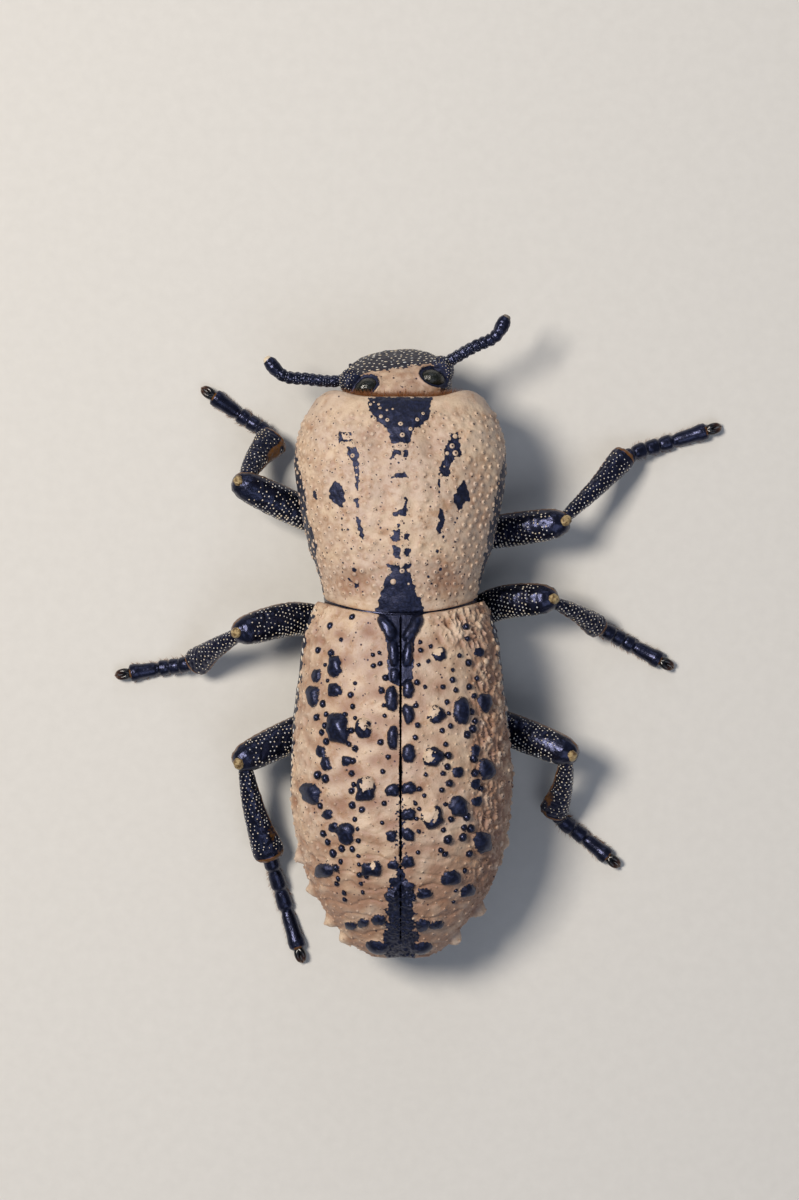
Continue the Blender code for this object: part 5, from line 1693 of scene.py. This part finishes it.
def knee_skin(leg):
    """A small fold of soft gold membrane on top of the knee, where the shin starts."""
    hip, knee, ankle = (np.array(p) for p in (leg.hip, leg.knee, leg.ankle))
    down = unit(ankle - knee)
    centre = knee + down * 0.16 + (0, 0, KNEE_FOLD_RISE) + unit(knee - hip) * 0.1
    mesh = bead("knee", 28, 18)
    ball = read_points(mesh)
    ball *= (1 + 0.06 * ripple(ball, 0.7, 91))[:, None]
    side = unit(np.cross(down, (0.0, 0.0, 1.0)))
    turn = np.stack((side, down, np.cross(side, down)), 1)
    write_points(mesh, (ball * KNEE_FOLD) @ turn.T + centre)
    return mesh


def build_legs(sizes, looks):
    """Thighs, shins, feet, claws and knees, with the cream granules that stand on them."""
    rng = np.random.default_rng(sizes.seed + 41)
    grains, shin_grains, knees, claws = [], [], [], []
    for number, (name, leg) in enumerate(LEGS.items()):
        femur, tibia, foot = femur_limb(leg), tibia_limb(leg), foot_limb(leg)
        grains += limb_granules(femur, 0.28, 0.054, rng, rear=1.0, spare=0.5)
        shin_grains += limb_granules(tibia, 0.29, 0.05, rng, rear=0.3, spare=0.3, tip_share=0.94)
        femur.roughen(0.018, 0.5, 100 + number)
        tibia.roughen(0.02, 0.4, 110 + number)
        for part, limb, floor in (("femur", femur, None), ("tibia", tibia, None), ("tarsus", foot, 0.0)):
            mesh = limb.skin(part, floor)
            nodes = f"{part}_{name}"
            make_piece(f"{part}_skin_{name}", mesh, looks, bare_cuticle, "black_cuticle", nodes)
        claws += [claw_limb(leg, sign).skin("claw", floor=0.0) for sign in (-1, 1)]
        knees.append(knee_skin(leg))
    make_piece("claws", joined("claws", claws), looks, claw_horn, "black_cuticle")
    make_piece("knee_membranes", joined("knees", knees), looks, joint_skin, "tan_crust")
    for name, frames in (("femur_granules", grains), ("tibia_granules", shin_grains)):
        make_piece(name, copies(name, bead("granule", 6, 5), frames), looks, cream_wax, "tan_crust")


def feeler_limb(side):
    """Nine close beads and a flattened club with a pale tip."""
    beads_end = 1 - FEELER_CLUB_SHARE
    girth = []
    for i in range(FEELER_BEADS):
        near, span = beads_end * i / FEELER_BEADS, beads_end / FEELER_BEADS
        size = FEELER_BEAD + 0.03 * i / FEELER_BEADS
        for share, half in ((0, FEELER_NECK), (0.3, size * 0.95), (0.7, size)):
            girth.append((near + span * share, half, half))
    girth.append((beads_end, FEELER_NECK + 0.03, FEELER_NECK + 0.03))
    for place, share, depth in FEELER_CLUB_GIRTH:
        girth.append((place, FEELER_CLUB * share, depth))
    limb = Limb(FEELERS[side], girth, 170, around=48)
    limb.marks["cream"] = PALE_TIP[side] * smooth(0.975, 1.0, limb.marks["along"])
    return limb


def mouth_limb(points, girth, sign):
    path = [turned((sign * x, y, z)) for x, y, z in points]
    rows = ((0.0, girth, girth), (0.6, girth * 0.95, girth * 0.9), (1.0, 0.12, 0.12))
    return Limb(path, rows, 40, around=32)


def build_feelers(sizes, looks):
    """Feelers with their pale short granules, jaws and palps."""
    rng = np.random.default_rng(sizes.seed + 51)
    bare = (looks, bare_cuticle, "black_cuticle")
    for number, (side, sign) in enumerate(SIGN.items()):
        limb = feeler_limb(side)
        frames = limb_granules(limb, 0.2, 0.026, rng, spare=1.1, tip_share=0.94, flat=1.2)
        limb.roughen(0.012, 0.25, 130 + number)
        make_piece("antenna_skin_" + side, limb.skin("antenna"), *bare, "antenna_" + side)
        mesh = copies("antenna_granules_" + side, bead("granule", 6, 5), frames)
        make_piece("antenna_granules_" + side, mesh, looks, pale_seta, "tan_crust")
        jaw = mouth_limb(MANDIBLE, MANDIBLE_GIRTH, sign)
        jaw.marks["amber"] = 0.5 * smooth(0.75, 0.95, jaw.marks["along"])
        make_piece("mandible_skin_" + side, jaw.skin("mandible"), *bare, "mandible_" + side)
        palp = mouth_limb(PALP, PALP_GIRTH, sign)
        bulge = 0.06 * np.sin(palp.marks["along"] * 3 * np.pi) ** 2
        palp.grid += palp.normals * bulge[..., None]
        make_piece("palp_skin_" + side, palp.skin("palp"), *bare, "palp_" + side)


HAIR_RINGS = 3
FRINGE_COUNT = 2600
FRINGE_HALF = 3.7
FRINGE_FOOT = 6.9
FRINGE_ARCH = (4.3, 2.55)
FOOT_HAIRS = 420
FOOT_HAIR_FLOOR = 0.01
BAKE_PATCH = 0.003
FRINGE_LINE = ((-3.6, 15.98), (-2.4, 15.86), (0.0, 15.8), (2.4, 15.86), (3.6, 15.98))


def seta():
    """One stiff hair along Z, a tapered spike of three sides."""
    bm = bmesh.new()
    bmesh.ops.create_cone(bm, cap_ends=True, segments=3, radius1=1.0, radius2=0.12, depth=1.0)
    bmesh.ops.translate(bm, vec=(0, 0, 0.5), verts=bm.verts)
    long_edges = [e for e in bm.edges if abs(e.verts[0].co.z - e.verts[1].co.z) > 0.5]
    bmesh.ops.subdivide_edges(bm, edges=long_edges, cuts=HAIR_RINGS - 1)
    mesh = bpy.data.meshes.new("seta")
    bm.to_mesh(mesh)
    bm.free()
    return mesh


def hairs(name, points, aims, lengths, widths, bends, places, looks, floor=None):
    """Solid hairs at points, each bent sideways, with a patch of the bake map at its root's place."""
    template = seta()
    base = read_points(template)
    corners = np.empty(len(template.loops), np.int32)
    template.loops.foreach_get("vertex_index", corners)
    local = base[:, (0, 2)] * BAKE_PATCH / 2
    sizes = np.stack((widths, widths, lengths), 1)
    mesh = copies(name, template, frames_on(points, aims, sizes, lie=(0.01, 0.01, 1.01)))
    co = read_points(mesh).reshape(len(points), -1, 3)
    co += bends[:, None, :] * (base[:, 2] ** 2)[None, :, None]
    if floor is not None:
        co[..., 2] = np.maximum(co[..., 2], floor)
    write_points(mesh, co.reshape(-1, 3))
    set_mark(mesh, "along", np.tile(base[:, 2], len(points)))
    layer = mesh.uv_layers.new(name="OFBake")
    spots = (places[:, None, :] + local[None, corners, :]).reshape(-1, 2)
    layer.data.foreach_set("uv", np.clip(spots, 0, 1).astype(np.float32).ravel())
    make_piece(name, mesh, looks, golden_seta, "tan_crust", sharp=0)


def build_fringe(rng, looks):
    """The golden fringe under the pronotum's front edge."""
    count = FRINGE_COUNT
    x = rng.uniform(-FRINGE_HALF, FRINGE_HALF, count)
    line = curve(FRINGE_LINE, x)[:, 0]
    half, rise = FRINGE_ARCH
    arch = rise * np.clip(1 - np.abs(x / half) ** BODY_POWER, 0, 1) ** (1 / BODY_POWER)
    back, down = rng.uniform(0.15, 0.5, count), rng.uniform(0.0, 0.3, count)
    points = np.stack((x, line - back, FRINGE_FOOT + arch - down), 1)
    sideways, drop = 0.10 * x + rng.normal(0, 0.22, count), rng.normal(-0.25, 0.2, count)
    aims = unit(np.stack((sideways, np.ones(count), drop), 1))
    lengths = rng.uniform(0.45, 0.85, count)
    bends = np.stack((rng.normal(0, 0.05, count), np.zeros(count), rng.uniform(-0.16, -0.04, count)), 1)
    places = np.stack((0.5 + x / 9, 0.9 + 0.05 * (points[:, 2] - 9)), 1)
    widths = rng.uniform(0.014, 0.024, count)
    hairs("neck_fringe", points, aims, lengths, widths, bends, places, looks)


def build_hairs(sizes, looks):
    """The golden fringe and the short pads below the feet."""
    rng = np.random.default_rng(sizes.seed + 61)
    build_fringe(rng, looks)
    roots, ways, spots = [], [], []
    for number, leg in enumerate(LEGS.values()):
        foot = foot_limb(leg)
        rows, around = foot.grid.shape[:2]
        low = np.flatnonzero(np.sin(foot.turns) < -0.15)
        for _ in range(FOOT_HAIRS):
            row, column = rng.integers(20, rows - 12), rng.choice(low)
            roots.append(foot.grid[row, column])
            ways.append(foot.normals[row, column] + 0.9 * foot.ahead[min(row, len(foot.ahead) - 1)])
            spots.append((row / rows, (number + column / around) / 7))
    roots, ways, spots = np.array(roots), unit(np.array(ways)), np.array(spots)
    roots[:, 2] = np.maximum(roots[:, 2], 0.12)
    ways[:, 2] = np.maximum(ways[:, 2], -0.25)
    count = len(roots)
    bends = rng.normal(0, 0.02, (count, 3)) * (1, 1, 0)
    lengths = np.minimum(rng.uniform(0.16, 0.34, count), 0.9 * roots[:, 2] + 0.12)
    widths = rng.uniform(0.012, 0.02, count)
    hairs("foot_setae", roots, unit(ways), lengths, widths, bends, spots, looks, FOOT_HAIR_FLOOR)


KEY_LIGHT = (-136.0, 66.0, 275.0)
KEY_SIZE = 85
FILL_SIZE = 140
RIM_SIZE = 60
LIGHT_AIM = (0.0, 0.0, 5.0)
FILL_LIGHT = (60.0, -120.0, 230.0)
RIM_LIGHT = (20.0, 150.0, 90.0)
FLOOR_HALF = 600.0


def soft_light(name, place, size, energy, colour):
    """A square lamp turned towards the beetle."""
    light = bpy.data.lights.new(name, "AREA")
    light.shape = "SQUARE"
    light.size = size * MM
    light.energy = energy
    light.color = linear(colour)[:3]
    obj = bpy.data.objects.new(name, light)
    obj.location = Vector(place) * MM
    obj.rotation_euler = ((Vector(LIGHT_AIM) - Vector(place)).to_track_quat("-Z", "Y")).to_euler()
    bpy.context.scene.collection.objects.link(obj)


def build_stage(looks, light):
    """Pale board, soft key from the upper left, and the camera looking straight down."""
    mesh = shaped("floor", bmesh.ops.create_grid, x_segments=1, y_segments=1, size=FLOOR_HALF * MM)
    floor = bpy.data.objects.new("floor", mesh)
    bpy.context.scene.collection.objects.link(floor)
    mesh.materials.append(studio_board(looks))
    soft_light("key_light", KEY_LIGHT, KEY_SIZE, light.key, "#fff6ea")
    soft_light("fill_light", FILL_LIGHT, FILL_SIZE, light.fill, "#e9f0ff")
    soft_light("rim_light", RIM_LIGHT, RIM_SIZE, light.rim, "#eef3ff")
    world = bpy.data.worlds.new("studio")
    world.use_nodes = True
    background = world.node_tree.nodes["Background"]
    background.inputs["Color"].default_value = linear("#ccd8f0")
    background.inputs["Strength"].default_value = light.air
    bpy.context.scene.world = world
    bpy.context.scene.view_settings.view_transform = "Standard"
    camera = bpy.data.cameras.new("camera")
    camera.sensor_width = 36.0
    camera.lens = FOCAL_PX / max(PICTURE) * camera.sensor_width
    camera.clip_start = 10 * MM
    camera.clip_end = 5000 * MM
    obj = bpy.data.objects.new("camera", camera)
    middle_x = (PICTURE_MIDDLE[0] - MIDLINE_PX) * CAMERA_HEIGHT / FOCAL_PX + STANCE[0]
    obj.location = Vector((middle_x, PICTURE_Y, CAMERA_HEIGHT)) * MM
    bpy.context.scene.collection.objects.link(obj)
    bpy.context.scene.camera = obj


class BeetleSizes(bpy.types.PropertyGroup):
    """How finely the beetle is made."""

    seed: IntProperty(name="Seed", description="Start of every random draw", default=7, min=0)
    pronotum_around: IntProperty(
        name="Pronotum around", description="Points round the prothorax", default=400
    )
    pronotum_rings: IntProperty(name="Pronotum rings", description="Rings along the prothorax", default=175)
    case_over: IntProperty(name="Case over", description="Points over the back of a wing case", default=180)
    case_inside: IntProperty(name="Case inside", description="Points inside a wing case", default=26)
    case_rings: IntProperty(name="Case rings", description="Rings along a wing case", default=330)


def colour_property(name, description, default):
    return StringProperty(name=name, description=description + ", as an sRGB hex code", default=default)


class BeetleLooks(bpy.types.PropertyGroup):
    """Colours of the beetle's surfaces."""

    pale_wax: colour_property("Pale wax", "Freshest wax crust", "#dbc3a5")
    wax: colour_property("Wax", "Most of the wax crust", "#cfb9a2")
    stained_wax: colour_property("Stained wax", "Browner patches of the crust", "#b6916d")
    stain_and_shade_wax: colour_property("Stain and shade wax", "Crust in hollows and creases", "#946a4b")
    # Colour of the stain_and_shade mark: real brown stains, and painted shade in hollows and creases.
    pore: colour_property("Pore", "Pores and worn pricks in the crust", "#3a2519")
    cuticle: colour_property("Cuticle", "Bare cuticle of the back", "#07080f")
    # The blue of the bare cuticle is painted reflection of the sky.
    cuticle_sky_reflection: colour_property("Cuticle sky reflection", "Blue cast of the bare cuticle", "#1b2137")
    # Colour of the painted shade on the clypeus.
    face_shade: colour_property("Face shade", "Bare cuticle of the face, under dust", "#15100c")
    limb: colour_property("Limb", "Cuticle of limbs and underside", "#08090f")
    # The blue of the limbs is painted reflection of the sky.
    limb_sky_reflection: colour_property("Limb sky reflection", "Blue cast of the limbs", "#151827")
    amber: colour_property("Amber", "Thin clear edges of the limbs", "#6b4718")
    cream: colour_property("Cream", "Wax on granules", "#decdb0")
    blue_white: colour_property("Blue white", "Palest wax on granules", "#d6dade")
    eye: colour_property("Eye", "Compound eye", "#23261c")
    eye_edge: colour_property("Eye edge", "Between the eye's lenses", "#0f110d")
    golden_root: colour_property("Golden root", "Root of the golden hairs", "#3a1f05")
    golden_tip: colour_property("Golden tip", "Tip of the golden hairs", "#94561a")
    pale_root: colour_property("Pale root", "Root of the short hairs", "#8f94ab")
    pale_tip: colour_property("Pale tip", "Tip of the short hairs", "#e2e6f0")
    membrane: colour_property("Membrane", "Soft skin of the joints", "#bba579")
    # Colour of the painted shade in the low parts of the joints' folds.
    membrane_fold_shade: colour_property("Membrane fold shade", "Folds in the joints' skin", "#5a4224")
    claw_tip: colour_property("Claw tip", "Thin end of a claw", "#5a331b")
    board: colour_property("Board", "The board below", "#dcdad5")
    board_shade: colour_property("Board shade", "Grain of the board", "#d3d1cc")


class BeetleLight(bpy.types.PropertyGroup):
    """Strength of the studio lights."""

    key: FloatProperty(name="Key", description="Key light", default=0.88, unit="POWER", min=0)
    fill: FloatProperty(name="Fill", description="Fill light", default=0.1, unit="POWER", min=0)
    rim: FloatProperty(name="Rim", description="Rim light", default=0.02, unit="POWER", min=0)
    air: FloatProperty(name="Air", description="Light from all round", default=0.2, min=0)


class BeetleStep:
    """A step of the panel: it makes its pieces from the scene's settings."""

    def execute(self, context):
        self.make(context.scene.beetle_sizes, context.scene.beetle_looks)
        return {"FINISHED"}


class BEETLE_OT_pronotum(BeetleStep, bpy.types.Operator):
    """Skin and granules of the prothorax"""

    bl_idname = "beetle.pronotum"
    bl_label = "Pronotum"
    make = staticmethod(build_pronotum)


class BEETLE_OT_cases(BeetleStep, bpy.types.Operator):
    """Wing cases with their tubercles, and the waist joint"""

    bl_idname = "beetle.cases"
    bl_label = "Wing cases"
    make = staticmethod(build_cases)


class BEETLE_OT_underside(BeetleStep, bpy.types.Operator):
    """Breast, belly and hip sockets"""

    bl_idname = "beetle.underside"
    bl_label = "Underside"
    make = staticmethod(build_underside)


class BEETLE_OT_head(BeetleStep, bpy.types.Operator):
    """Head capsule and eyes"""

    bl_idname = "beetle.head"
    bl_label = "Head"
    make = staticmethod(build_head)


class BEETLE_OT_feelers(BeetleStep, bpy.types.Operator):
    """Feelers, jaws and palps"""

    bl_idname = "beetle.feelers"
    bl_label = "Feelers"
    make = staticmethod(build_feelers)


class BEETLE_OT_legs(BeetleStep, bpy.types.Operator):
    """Six legs with feet and claws"""

    bl_idname = "beetle.legs"
    bl_label = "Legs"
    make = staticmethod(build_legs)


class BEETLE_OT_hairs(BeetleStep, bpy.types.Operator):
    """Neck fringe and foot hairs"""

    bl_idname = "beetle.hairs"
    bl_label = "Hairs"
    make = staticmethod(build_hairs)


class BEETLE_OT_stage(bpy.types.Operator):
    """Board, lights and camera"""

    bl_idname = "beetle.stage"
    bl_label = "Stage"

    def execute(self, context):
        build_stage(context.scene.beetle_looks, context.scene.beetle_light)
        return {"FINISHED"}


class BEETLE_PT_panel(bpy.types.Panel):
    """Lists the beetle's pieces and their settings"""

    bl_label = "Ironclad Beetle"
    bl_space_type = "VIEW_3D"
    bl_region_type = "UI"
    bl_category = "Beetle"

    def draw(self, context):
        layout = self.layout
        for operator in STEPS:
            layout.operator(operator.bl_idname)
        for name, group in GROUPS.items():
            box = layout.box()
            for key in group.__annotations__:
                box.prop(getattr(context.scene, name), key)


STEPS = (
    BEETLE_OT_pronotum,
    BEETLE_OT_cases,
    BEETLE_OT_underside,
    BEETLE_OT_head,
    BEETLE_OT_feelers,
    BEETLE_OT_legs,
    BEETLE_OT_hairs,
    BEETLE_OT_stage,
)
GROUPS = {"beetle_sizes": BeetleSizes, "beetle_looks": BeetleLooks, "beetle_light": BeetleLight}
CLASSES = (*GROUPS.values(), *STEPS, BEETLE_PT_panel)


def register():
    for cls in CLASSES:
        bpy.utils.register_class(cls)
    for name, group in GROUPS.items():
        setattr(bpy.types.Scene, name, PointerProperty(type=group))


def unregister():
    for name in GROUPS:
        delattr(bpy.types.Scene, name)
    for cls in reversed(CLASSES):
        bpy.utils.unregister_class(cls)


def main():
    """Builds every piece in order."""
    register()
    bpy.ops.beetle.pronotum()
    bpy.ops.beetle.cases()
    bpy.ops.beetle.underside()
    bpy.ops.beetle.head()
    bpy.ops.beetle.feelers()
    bpy.ops.beetle.legs()
    bpy.ops.beetle.hairs()
    bpy.ops.beetle.stage()


if __name__ == "__main__":
    main()
